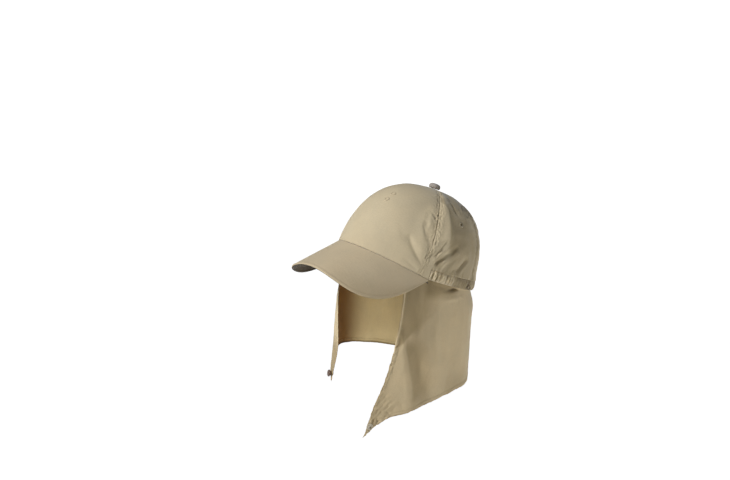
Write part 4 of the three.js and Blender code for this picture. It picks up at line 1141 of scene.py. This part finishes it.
# Loose folds and dents of the cape: azimuth and share of the drop at both ends, half width in mm, depth inward in mm.
CAPE_DENTS = [
    (60, 0.47, 73, 0.90, 3.2, 1.6), (56.5, 0.42, 60, 0.52, 3.0, -1.4),
    (54.5, 0.44, 58, 0.49, 1.8, 1.2),
    (70, 0.12, 74, 0.40, 5.0, 1.0), (77, 0.34, 83, 0.66, 4.0, 1.2), (88, 0.5, 95, 0.86, 7.0, 1.4),
    (92, 0.13, 110, 0.075, 4.5, -1.0),
    (52.9, 0.50, 55.6, 0.49, 1.2, 1.3), (52.9, 0.56, 54.8, 0.55, 1.1, 1.1), (53.0, 0.625, 56.4, 0.60, 1.2, 1.3), (52.9, 0.70, 55.3, 0.685, 1.2, 1.2), (52.9, 0.77, 55.8, 0.755, 1.2, 1.1),
    (52.3, 0.53, 54.6, 0.52, 1.0, -1.0), (52.3, 0.66, 55.3, 0.64, 1.0, -1.0), (52.3, 0.735, 55.0, 0.725, 1.1, -1.0),
    (53, 0.845, 59, 0.81, 1.7, 0.7), (53, 0.90, 61, 0.845, 1.7, 0.8), (54, 0.95, 63, 0.885, 1.8, 0.8),
    (54.2, 0.84, 56.3, 0.985, 1.5, 1.2), (57.2, 0.90, 58.6, 1.0, 1.3, 0.9), (61.4, 0.93, 64.2, 0.985, 1.7, 1.0),
    (126, 0.25, 131, 0.62, 6.0, 1.6), (148, 0.12, 146, 0.55, 5.0, -1.2), (168, 0.05, 172, 0.45, 5.0, 1.4), (193, 0.08, 190, 0.5, 5.0, 1.2),
    (215, 0.1, 219, 0.55, 5.0, 1.4), (243, 0.15, 247, 0.6, 6.0, 1.5), (276, 0.1, 280, 0.55, 5.0, 1.2),
    (307, 0.55, 303, 0.6, 1.5, 0.7), (307, 0.66, 302, 0.7, 1.5, 0.8), (307, 0.78, 301, 0.8, 1.6, 0.9), (306, 0.9, 299, 0.86, 1.7, 0.8),
]


def cape_piece():
    az_a, az_b = CAPE_STATIONS[0, 0], CAPE_STATIONS[-1, 0]
    length = 640.0
    us = graded(length, 0.75, 2.35, 26, 26)
    az1 = lerp(az_a, az_b, us)
    rows = np.concatenate([np.linspace(0, TUCK_SHARE, 7)[:-1], TUCK_SHARE + (1 - TUCK_SHARE) * graded(185, 1.1, 1.75, 14, 14)])
    az, v = az1[None, :] + 0 * rows[:, None], rows[:, None] + 0 * az1[None, :]
    t = np.clip((v - TUCK_SHARE) / (1 - TUCK_SHARE), 0, 1)
    # the near free edge is drawn back a little below the bill
    back = np.interp(t, [0.45, 0.52, 0.60, 0.69, 0.76, 0.82, 0.88, 0.94, 1.0], [0, 0.7, 1.5, 2.2, 2.2, 1.4, 1.0, 1.1, 0.6])
    az = az + back * (1 - smooth((az - az_a) / 16)) - 0.8 * smooth((az - az_b + 10) / 10) * 0
    B = cape_base(az, v)
    N = cape_normal(az, v)
    fall = unit(np.gradient(B, axis=0))
    more = 1.7 + 2.2 * (1 - smooth((az - 53) / 4)) + 2.6 * smooth((az - 298) / 4)
    more = more * (1 - smooth((az - 118) / 14) * (1 - smooth((az - 296) / 4)))
    B = B + fall * (more * smooth((t - 0.72) / 0.28))[..., None]
    Nt = crown_normal(az, 2.0 + 0 * az)
    k = smooth((t - 0.0) / 0.06)[..., None]
    N = unit(lerp(Nt, N, k))
    P = B - N * fold_depth(az, t)[..., None]
    S = arc_lengths(P, 0)  # mm down the cloth
    A = arc_lengths(P, 1)  # mm along the cloth
    wide = np.linalg.norm(np.gradient(P, axis=1), axis=-1) / np.maximum(1e-6, np.gradient(az, axis=1))  # mm a degree
    drop = S[-1][None] - S[0][None]
    down = S - np.interp(TUCK_SHARE, rows, np.arange(len(rows))) * 0
    fromtop = S - S[6][None]
    d = 0
    for a0, t0, a1, t1, half, depth in CAPE_DENTS:
        ux, uy = (a1 - a0) * 1.9, (t1 - t0) * 175.0
        px, py = (az - a0) * 1.9, (t - t0) * 175.0
        q = np.clip((px * ux + py * uy) / (ux * ux + uy * uy), 0, 1)
        r2 = ((px - ux * q) ** 2 + (py - uy * q) ** 2) / (half * half)
        d = d + depth * (0.5 + 0.5 * np.sin(np.pi * q)) * np.exp(-r2)
    hang = smooth(t / 0.12)
    # a deep crease just under the casing above the ear
    under = 4.0 * np.exp(-(((az - 106.0) / np.where(az < 106.0, 10.0, 5.0)) ** 2)) * np.exp(-(((t - 0.042 + 0.0036 * (az - 93)) / 0.014) ** 2)) * smooth(t / 0.006)
    under = under + 1.2 * smooth((az - 74) / 8) * (1 - smooth((az - 96) / 8)) * np.exp(-((t - 0.02) / 0.03) ** 2)
    xx, yy = az * 1.9, S
    wave = 1.3 * fbm(xx / 34, yy / 120, 71, 2) + 0.55 * fbm(xx / 15, yy / 46, 73, 3) + 0.14 * fbm(xx / 5, yy / 8, 75, 2)
    # edges: distance in mm to the front edges and to the bottom hem
    e_l, e_r, e_b = A, A[:, -1:] - A, S[-1][None] - S
    tip = smooth((t - 0.80) / 0.1) * (1 - smooth((az - 58) / 9)) + 0.35 * smooth((t - 0.45) / 0.08) * (1 - smooth((e_l - 5) / 6)) + 0.4 * smooth((t - 0.86) / 0.08) * smooth((az - 58) / 5) * (1 - smooth((az - 68) / 9))
    crumple = np.abs(fbm(xx / 7.5, yy / 11, 131, 3)) * 2 - 0.5
    wave = wave + 0 * tip
    d = d + 1.35 * crumple * tip + 0.5 * fbm(xx / 3.2, yy / 4.6, 133, 2) * tip
    wave = wave * (0.12 + 0.88 * smooth((np.minimum(e_l, e_r) - 4) / 26))
    # where the front strip of the near flap turns back into the valley behind it, the turn is quick
    turn = (az - np.interp(t, [0.40, 0.52, 0.65, 0.78, 0.88, 1.0], [58.0, 60.5, 65.8, 70.4, 72.6, 73.6])) * 1.75
    turn_on = smooth((t - 0.42) / 0.12) * (1 - 0.6 * smooth((t - 0.86) / 0.1))
    # the front edge of the near flap is rolled a little outward above the bill's shadow
    d = d - 0.9 * np.exp(-(((e_l - 1.0) / 1.3) ** 2)) * (1 - smooth((t - 0.5) / 0.1))
    d = d + 1.7 * smooth(turn / 2.6) * np.exp(-((turn / 13.0) ** 2)) * turn_on - 0.8 * np.exp(-((turn / 5.0) ** 2)) * turn_on * (turn < 0) - 0.8 * np.exp(-((turn / 1.6) ** 2)) * turn_on * (turn >= 0)
    h = (wave - d) * hang - under
    e = np.minimum(np.minimum(e_l, e_r), e_b)
    edge = smooth((HEM - e) / 0.9)
    pucker = fbm(np.where(e == e_b, xx / 4.2, yy / 4.2), e / 9.0, 91, 2)
    h = h + 0.42 * pucker * bump(np.maximum(0, e - 2), 7.0) * hang
    h = h - 0.12 * bump(e - HEM + 0.6, 0.7) * hang
    roll = np.sqrt(np.clip(1 - (1 - np.clip(e / 0.9, 0, 1)) ** 2, 0, 1))
    thick = 0.75 + 0.75 * edge
    P = P + N * h[..., None]
    n = grid_normals(P)
    if (n * N).sum(-1).mean() < 0:
        n = -n
    half_out = (thick - 0.75) * 0.5 * hang
    outer = P + n * (half_out - thick * 0.5 * (1 - roll) * hang)[..., None]
    inner = P + n * (half_out - thick + thick * 0.5 * (1 - roll) * hang)[..., None]
    uv = np.stack([xx + 500, yy], -1)
    # painted highlight along the rolled edges and painted shade along the hem's stitch line; below, a dashed line of
    # painted shade along the bottom hem and the lower front edge
    painted_light_shade_and_wear = (0.5 * bump(e - 0.6, 1.0) - 0.22 * bump(e - HEM + 0.6, 0.9)) * hang
    low = np.where(e_b <= e + 1e-9, 1.0, np.where(e_l <= e + 1e-9, smooth((t - 0.5) / 0.12), 0.0))
    hem_edge_painted_shade = -(2.5 + 1.7 * fbm(xx / 2.4, yy / 2.4, 151, 2)) * bump(e - 0.2, 1.5) * low * hang
    inner_painted_light_shade = painted_light_shade_and_wear * 0.6
    painted_light_shade_and_wear = painted_light_shade_and_wear + hem_edge_painted_shade
    # painted shade: the bill's shadow, the crease under the casing, the valley behind the front strip and the lower
    # curled edge of the right flap; painted highlights on the near flap's front edge above the bill's shadow and on the
    # top of that curled edge
    line = np.interp(az, [52, 56.5, 62.5, 68, 74, 80, 90], [0.52, 0.48, 0.43, 0.34, 0.24, 0.14, 0.02])
    soft = 0.03 + 0.16 * smooth((az - 62) / 8)
    painted_light_shade_and_wear = painted_light_shade_and_wear - 2.0 * (1 - smooth((t - line) / soft)) * smooth((az - 53) / 2) * (1 - smooth((az - 66) / 20))
    painted_light_shade_and_wear = painted_light_shade_and_wear + 1.1 * bump(e_l - 0.8, 1.2) * (1 - smooth((t - 0.5) / 0.1)) - 2.6 * np.clip(under / 4.0, 0, 1) ** 1.5
    painted_light_shade_and_wear = painted_light_shade_and_wear - 1.6 * smooth((turn + 1) / 5) * (1 - smooth((turn - 13) / 20)) * turn_on
    painted_light_shade_and_wear = painted_light_shade_and_wear - (-1.2 + 3.1 * smooth((t - 0.6) / 0.2)) * smooth((az - 298) / 3)
    # painted shade along the bottom hem on the wrong side, from the back round to the far flap
    inner_painted_light_shade = inner_painted_light_shade - 4.0 * np.exp(-((np.maximum(0, e_b - 1.5) / 1.5) ** 2)) * smooth((az - 205) / 30)
    # painted shade in a strip under the casing and the bill's corner, a painted highlight over the ear, and painted
    # shade on the low back corner
    strip = np.interp(az, [70, 80, 90, 100, 108], [0.115, 0.10, 0.08, 0.05, 0.0])
    painted_light_shade_and_wear = painted_light_shade_and_wear - 2.2 * (1 - smooth((t - strip + 0.03) / 0.10)) * smooth((az - 68) / 8) * (1 - smooth((az - 102) / 8))
    painted_light_shade_and_wear = painted_light_shade_and_wear + 0.5 * np.exp(-(((az - 102) / 15.0) ** 2) - ((t - 0.42) / 0.26) ** 2) - 1.1 * np.exp(-(((az - 112) / 12.0) ** 2) - ((t - 0.93) / 0.13) ** 2)
    # the wrong side turns deep brown towards the far flap's front: painted shade
    deep = 1.0 + 1.0 * smooth((az - 260) / 27)
    o = shell("neck_cape_cloth", outer, inner, uv, {"painted_light_shade_and_wear": (painted_light_shade_and_wear, inner_painted_light_shade), "inside": (0 * az, deep)}, [CAPE_CLOTH])
    # area of one face, for the cut
    q1 = np.cross(P[1:, :-1] - P[:-1, :-1], P[:-1, 1:] - P[:-1, :-1])
    q2 = np.cross(P[1:, 1:] - P[1:, :-1], P[1:, 1:] - P[:-1, 1:])
    area = 0.5 * (np.linalg.norm(q1, axis=-1).sum() + np.linalg.norm(q2, axis=-1).sum()) / 1e6
    # stitch rows along the hem: pick the grid point nearest to HEM - 0.6 from each edge
    rows_out = []
    target = HEM - 0.6
    nsurf = n

    def sample(jf, if_):
        j0, i0 = np.floor(jf).astype(int), np.floor(if_).astype(int)
        j0, i0 = np.clip(j0, 0, outer.shape[0] - 2), np.clip(i0, 0, outer.shape[1] - 2)
        fj, fi = (jf - j0)[:, None], (if_ - i0)[:, None]
        g = lambda X: (X[j0, i0] * (1 - fj) * (1 - fi) + X[j0 + 1, i0] * fj * (1 - fi) + X[j0, i0 + 1] * (1 - fj) * fi + X[j0 + 1, i0 + 1] * fj * fi)
        return g(outer), g(nsurf), g(inner)

    js = np.arange(outer.shape[0])
    il = np.array([np.interp(target, A[j], np.arange(A.shape[1])) for j in js])
    ir = np.array([np.interp(A[j, -1] - target, A[j], np.arange(A.shape[1])) for j in js])
    jb = np.array([np.interp(S[-1, i] - target, S[:, i], js) for i in range(S.shape[1])])
    j_first = 10
    for line in (il, ir):
        jmax = float(np.interp(np.median(line), np.arange(len(jb)), jb))
        jf = np.linspace(j_first, jmax, 300)
        f = np.interp(jf, js, line)
        pt, nn, ins = sample(jf, f)
        rows_out.append((pt, nn))
        rows_out.append((ins, -nn))
    i0, i1 = float(il[-4]), float(ir[-4])
    f = np.linspace(i0, i1, 900)
    jf = np.interp(f, np.arange(len(jb)), jb)
    pt, nn, ins = sample(jf, f)
    rows_out.append((pt, nn))
    rows_out.append((ins, -nn))
    return o, rows_out, area, P, N, rows, az1


cape, cape_rows, cape_area, CAPE_P, CAPE_N, CAPE_ROWS_V, CAPE_AZ = cape_piece()
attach(cape, "root")
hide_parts("neck_cape")
hem_stitches = stitches("hem_stitches", cape_rows, THREAD, pitch=2.9, length=2.1, radius=0.2, sink=0.06)
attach(hem_stitches, "root")


def cape_spot(az, v):
    """A point of the cape's outer face and its normal, by azimuth and row share."""
    i = np.interp(az, CAPE_AZ, np.arange(len(CAPE_AZ)))
    j = np.interp(v, CAPE_ROWS_V, np.arange(len(CAPE_ROWS_V)))
    i, j = int(round(float(i))), int(round(float(j)))
    return CAPE_P[j, i], CAPE_N[j, i]


# ------------------------------------------------------------------ button, eyelets, snaps, rings
def button_piece():
    rows = [(0, 0), (6.4, 0.0), (7.2, 0.5), (7.55, 1.3), (7.6, 2.4), (7.4, 3.6), (6.75, 4.6), (5.6, 5.35), (4.2, 5.8), (2.6, 6.08), (1.2, 6.18), (0, 6.2)]
    fine = []
    r = np.array([p[0] for p in rows], float)
    y = np.array([p[1] for p in rows], float)
    s = np.concatenate([[0], np.cumsum(np.hypot(np.diff(r), np.diff(y)))])
    for q in np.linspace(0, s[-1], 44):
        fine.append((float(np.interp(q, s, r)), float(np.interp(q, s, y))))
    V, F = lathe(fine, 96)
    a = np.arctan2(V[:, 1], V[:, 0])
    rr = np.hypot(V[:, 0], V[:, 1])
    # cloth drawn over the button: small pleats round the lower edge, soft unevenness on top
    low = smooth((3.2 - V[:, 2]) / 2.4) * smooth(rr / 5.0)
    pleat = 0.22 * np.sin(a * 15 + 1.5 * np.sin(a * 3)) * low + 0.12 * fbm(a * 4, V[:, 2] / 2, 5, 2) * low
    V = V + np.stack([np.cos(a), np.sin(a), 0 * a], -1) * pleat[:, None]
    V[:, 2] += 0.10 * fbm(V[:, 0] / 4, V[:, 1] / 4, 8, 2) * smooth(V[:, 2] / 3)
    axis = tilted(0, 0, 1)
    p = tilted(0, TOP_SHIFT - 2.2, CROWN_HEIGHT + GAP + 0.3)
    W = put(V * np.array([1.08, 1.08, 1.18]), frame_at(p, axis, hint=(1, 0, 0)))
    # painted highlight on the top and painted shade round the lower edge
    painted_light_shade_and_wear = 0.4 * bump(V[:, 2] - 4.2, 1.2) - 0.6 * bump(V[:, 2] - 0.6, 0.8)
    return make_mesh("top_button_cloth", W, F, np.stack([V[:, 0] + 900, V[:, 1]], -1), {"painted_light_shade_and_wear": painted_light_shade_and_wear}, [BUTTON_CLOTH])


button = button_piece()
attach(button, "root")
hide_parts("top_button")


def eyelet_piece(name, az, lat):
    """A worked eyelet: satin stitches wound over a ring, with a slightly uneven outer edge."""
    n = 168
    a = np.linspace(0, 2 * np.pi, n, endpoint=False)
    faint = "front" in name
    R, tube_r, sides = 2.9, 0.8, 14
    b = np.linspace(0, 2 * np.pi, sides, endpoint=False)
    ridge = 0.10 * np.abs(np.sin(a * 26))
    out_edge = 0.14 * np.abs(np.sin(a * 13 + 0.7))
    rr = R + (tube_r + ridge + out_edge * 0.5)[:, None] * np.cos(b)[None]
    zz = ((0.34 if faint else 0.5) + ridge)[:, None] * np.sin(b)[None]
    V = np.stack([rr * np.cos(a)[:, None], rr * np.sin(a)[:, None], zz], -1).reshape(-1, 3)
    k = np.arange(n * sides).reshape(n, sides)
    k2, j2 = np.roll(k, -1, 1), np.roll(k, -1, 0)
    F = np.stack([k.ravel(), j2.ravel(), np.roll(j2, -1, 1).ravel(), k2.ravel()], -1)
    if volume(V, F) < 0:
        F = F[:, ::-1]
    P, _ = crown_face(np.array([[az]], float), np.array([[lat]], float))
    nrm = normal_of(lambda x, y: crown_point(x, y), np.array(float(az)), np.array(float(lat)))
    W = put(V, frame_at(P[0, 0] + nrm * (0.12 if faint else 0.35), nrm))
    uv = np.stack([np.repeat(a, sides) * 6, np.tile(b, n) * 0.8], -1)
    return make_mesh(name + "_thread", W, F, uv, None, [TONE_THREAD if faint else EYELET_THREAD])


for name, az, lat in EYELETS:
    o = eyelet_piece(name, az, lat)
    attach(o, "root")
    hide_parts(name)


def snap_piece(name, az, v, mat, socket):
    p, n = cape_spot(az, v)
    if socket:
        prof = [(0, 0), (3.6, 0), (4.1, 0.35), (4.2, 0.9), (4.0, 1.35), (3.5, 1.55), (3.2, 1.25), (2.6, 1.15), (2.4, 1.5), (2.2, 2.3), (1.9, 2.55), (1.5, 2.3), (1.35, 1.2), (0, 1.1)]
    else:
        prof = [(0, -2.1), (2.7, -2.1), (2.9, -0.6), (3.5, -0.1), (4.1, 0.3), (4.2, 0.8), (4.15, 1.2), (3.8, 1.75), (3.2, 2.15), (2.6, 2.35), (2.45, 2.28), (2.3, 2.42), (1.5, 2.68), (0.7, 2.78), (0, 2.8)]
    r = np.array([q[0] for q in prof], float)
    y = np.array([q[1] for q in prof], float)
    s = np.concatenate([[0], np.cumsum(np.hypot(np.diff(r), np.diff(y)))])
    fine = [(float(np.interp(q, s, r)), float(np.interp(q, s, y))) for q in np.linspace(0, s[-1], 60)]
    V, F = lathe(fine, 64)
    W = put(V * (np.array([1.12, 1.12, 1.15]) if socket else np.array([1.2, 1.2, 1.15])), frame_at(p + n * (GAP + (0.5 if socket else 2.6)), n))
    # the prongs' washer on the inner side of the cloth
    V2, F2 = lathe([(0, 0), (2.9, 0), (3.2, 0.25), (3.1, 0.55), (2.2, 0.7), (1.6, 0.45), (0, 0.4)], 48)
    W2 = put(V2, frame_at(p - n * 1.5, -n))
    W, F = joined([(W, F), (W2, F2)])
    return make_mesh(name + "_body", W, F, None, None, [mat])


for name, az, v, mat, sock, slot_ in (("snap_cap_right", 306.3, 0.972, SNAP_DARK, False, "snap_dark"),
                                      ("snap_socket_left", 53.6, 0.96, SNAP_PALE, True, "snap_pale")):
    o = snap_piece(name, az, v, mat, sock)
    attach(o, "root")
    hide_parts(name)


def ring_piece(name, az):
    lat = lat_above(np.array(float(az)), 4.0)
    n0 = crown_normal(np.array(float(az)), np.array(4.0))
    n = unit(0.75 * n0 + 0.62 * np.array([math.copysign(math.sin(math.radians(58)), az), -math.cos(math.radians(58)), 0.1]))
    p = crown_point(np.array(float(az)), lat) + n0 * (CASING_PROUD + 0.7 + GAP + 1.3)
    a = np.linspace(0, 2 * np.pi, 64, endpoint=False)
    V, F = tube(np.stack([2.6 * np.cos(a), 2.6 * np.sin(a), 0 * a], -1), 0.68, 14, closed=True, up=(0, 0, 1))
    ring = put(V, frame_at(p, n))
    o = make_mesh(name + "_wire", ring, F, None, None, [RING_MAT])
    # a tack of dark thread that hooks the ring to the casing
    b, t, nn = frame_at(p, n)[0].T
    sg = 1 if az > 0 else -1
    q = np.linspace(0, 1, 40)
    hook = [p + t * (1.9 + 6.2 * s) + b * sg * (-1.4 * math.sin(math.pi * min(1, s * 1.25)) + 0.6 * s) + n * (0.1 + 0.55 * math.sin(math.pi * s)) for s in q]
    V2, F2 = tube(np.array(hook), 0.42 * (0.55 + 0.45 * np.sin(np.pi * q) ** 0.3), 8)
    o2 = make_mesh(name + "_tack", V2, F2, np.stack([V2[:, 0] + V2[:, 1], V2[:, 2]], -1), None, [DARK_THREAD])
    return o, o2


for name, az in (("casing_ring_left", 115.6), ("casing_ring_right", -115.6)):
    o, o2 = ring_piece(name, az)
    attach(o, "root")
    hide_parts(name)
    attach(o2, "root")


# ------------------------------------------------------------------ camera, light, stage
def unit3(v):
    return np.asarray(v, float) / np.linalg.norm(v)


CAM_AZ, CAM_EL, CAM_D = 46.381, 20.0, 1.4
FOCAL_PX, PLACE_PX = 0.71628 * 1400.0, (403.563 - 365.0, 269.404 - 240.0)


def camera_axes(az, el):
    a, e = math.radians(az), math.radians(el)
    r = np.array([math.cos(a), math.sin(a), 0.0])
    c = np.array([math.sin(a) * math.cos(e), -math.cos(a) * math.cos(e), math.sin(e)])
    return r, np.cross(c, r), c


r0, u0, c0 = camera_axes(CAM_AZ, CAM_EL)
eye = c0 * CAM_D
# the origin of the part stands off the middle of the picture: the camera is turned to match, with no shift
ya, pe = CAM_AZ, CAM_EL
for _ in range(30):
    r, u, c = camera_axes(ya, pe)
    d = -eye
    x, y = FOCAL_PX * (d @ r) / (d @ -c), FOCAL_PX * (d @ u) / (d @ -c)
    ya += math.degrees((PLACE_PX[0] - x) / FOCAL_PX)
    pe -= math.degrees((y + PLACE_PX[1]) / FOCAL_PX)
    if abs(x - PLACE_PX[0]) + abs(y + PLACE_PX[1]) < 1e-6:
        break
r, u, c = camera_axes(ya, pe)
cam_data = bpy.data.cameras.new("camera")
cam_data.sensor_fit = "HORIZONTAL"
cam_data.sensor_width = 36.0
cam_data.lens = FOCAL_PX * 36.0 / 730.0
cam_data.clip_start, cam_data.clip_end = 0.05, 60
cam = bpy.data.objects.new("camera", cam_data)
cam.matrix_world = Matrix(((r[0], u[0], c[0], eye[0]), (r[1], u[1], c[1], eye[1]), (r[2], u[2], c[2], eye[2]), (0, 0, 0, 1)))
bpy.context.scene.collection.objects.link(cam)
bpy.context.scene.camera = cam


def area_light(name, az, el, dist, size, watts, colour=(1, 1, 1), at=(0, 0, -0.04)):
    a, e = math.radians(az), math.radians(el)
    d = Vector((math.sin(a) * math.cos(e), -math.cos(a) * math.cos(e), math.sin(e)))
    data = bpy.data.lights.new(name, "AREA")
    data.shape = "DISK"
    data.size = size
    data.energy = watts
    data.color = colour
    o = bpy.data.objects.new(name, data)
    o.location = Vector(at) + d * dist
    o.rotation_euler = d.to_track_quat("Z", "Y").to_euler()
    bpy.context.scene.collection.objects.link(o)
    return o


# each light's strength is given as the radiance it leaves on a white sheet that faces it at the hat
def studio_light(name, az, el, value, size=0.6, dist=6.0, colour=(1, 1, 1)):
    watts = 355.3 * value * (dist / 6.0) ** 2
    return area_light(name, az, el, dist, size, watts, colour, at=(0, 0, -0.03))


GLOW_NEAR, GLOW_FAR = 0.14, 0.8
studio_light("key", -11, 46, 0.82, 0.7, colour=(0.985, 1.0, 1.06))
studio_light("low_front", 12, 34, 0.12, 1.6)
studio_light("low_side", 40, -8, 0.02, 2.0)
studio_light("ear_low", 104, -42, 0.20, 0.3, dist=2.6)
studio_light("ear_level", 108, -14, 0.11, 1.0)
studio_light("back_low", 150, -8, 0.09, 2.0)

world = bpy.data.worlds.new("studio")
world.use_nodes = True
bg = world.node_tree.nodes["Background"]
bg.inputs[0].default_value = (1.0, 1.0, 1.0, 1.0)
# the surroundings are seen as white past the floor's edge, and light nothing
seen = world.node_tree.nodes.new("ShaderNodeLightPath")
world.node_tree.links.new(seen.outputs["Is Camera Ray"], bg.inputs[1])
bpy.context.scene.world = world
bpy.context.scene.view_settings.view_transform = "Standard"
bpy.context.scene.view_settings.look = "None"
bpy.context.scene.view_settings.exposure = 0.0
bpy.context.scene.view_settings.gamma = 1.0

# a plain pale floor, well below the held hat, that brightens into a white sweep behind it; seen from underneath it lets the view through
FLOOR_Z, R_FLOOR, n_f = -2.0, 40.0, 96
ang = np.linspace(0, 2 * np.pi, n_f, endpoint=False)
fm = bpy.data.meshes.new("floor")
fm.from_pydata([(R_FLOOR * math.cos(t), R_FLOOR * math.sin(t), FLOOR_Z) for t in ang], [], [list(range(n_f))])
floor = bpy.data.objects.new("floor", fm)
bpy.context.scene.collection.objects.link(floor)
k = Nodes("floor_paper")
k.t.nodes.remove(k.bsdf)
co = k.new("ShaderNodeTexCoord").outputs["Object"]
sep = k.new("ShaderNodeSeparateXYZ")
k.link(co, sep.inputs[0])
away = k.math("ADD", k.math("MULTIPLY", sep.outputs[0], -math.sin(math.radians(CAM_AZ))), k.math("MULTIPLY", sep.outputs[1], math.cos(math.radians(CAM_AZ))))
ramp = k.new("ShaderNodeMapRange", interpolation_type="SMOOTHSTEP")
k.link(away, ramp.inputs[0])
ramp.inputs[1].default_value, ramp.inputs[2].default_value = 0.7, 1.7
ramp.inputs[3].default_value, ramp.inputs[4].default_value = GLOW_NEAR, GLOW_FAR
far = k.new("ShaderNodeMapRange", interpolation_type="SMOOTHSTEP")
k.link(away, far.inputs[0])
far.inputs[1].default_value, far.inputs[2].default_value = 2.4, 12.0
far.inputs[3].default_value, far.inputs[4].default_value = 0.0, 0.5
glow_all = k.math("ADD", ramp.outputs[0], far.outputs[0])
diff = k.new("ShaderNodeBsdfDiffuse")
diff.inputs[0].default_value = (0.9, 0.9, 0.9, 1)
glow = k.new("ShaderNodeEmission")
glow.inputs[0].default_value = (1, 1, 1, 1)
k.link(glow_all, glow.inputs[1])
add = k.new("ShaderNodeAddShader")
k.link(diff.outputs[0], add.inputs[0])
k.link(glow.outputs[0], add.inputs[1])
mixs = k.new("ShaderNodeMixShader")
clear = k.new("ShaderNodeBsdfTransparent")
k.link(k.new("ShaderNodeNewGeometry").outputs["Backfacing"], mixs.inputs[0])
k.link(add.outputs[0], mixs.inputs[1])
k.link(clear.outputs[0], mixs.inputs[2])
k.link(mixs.outputs[0], k.out.inputs["Surface"])
fm.materials.append(k.mat)
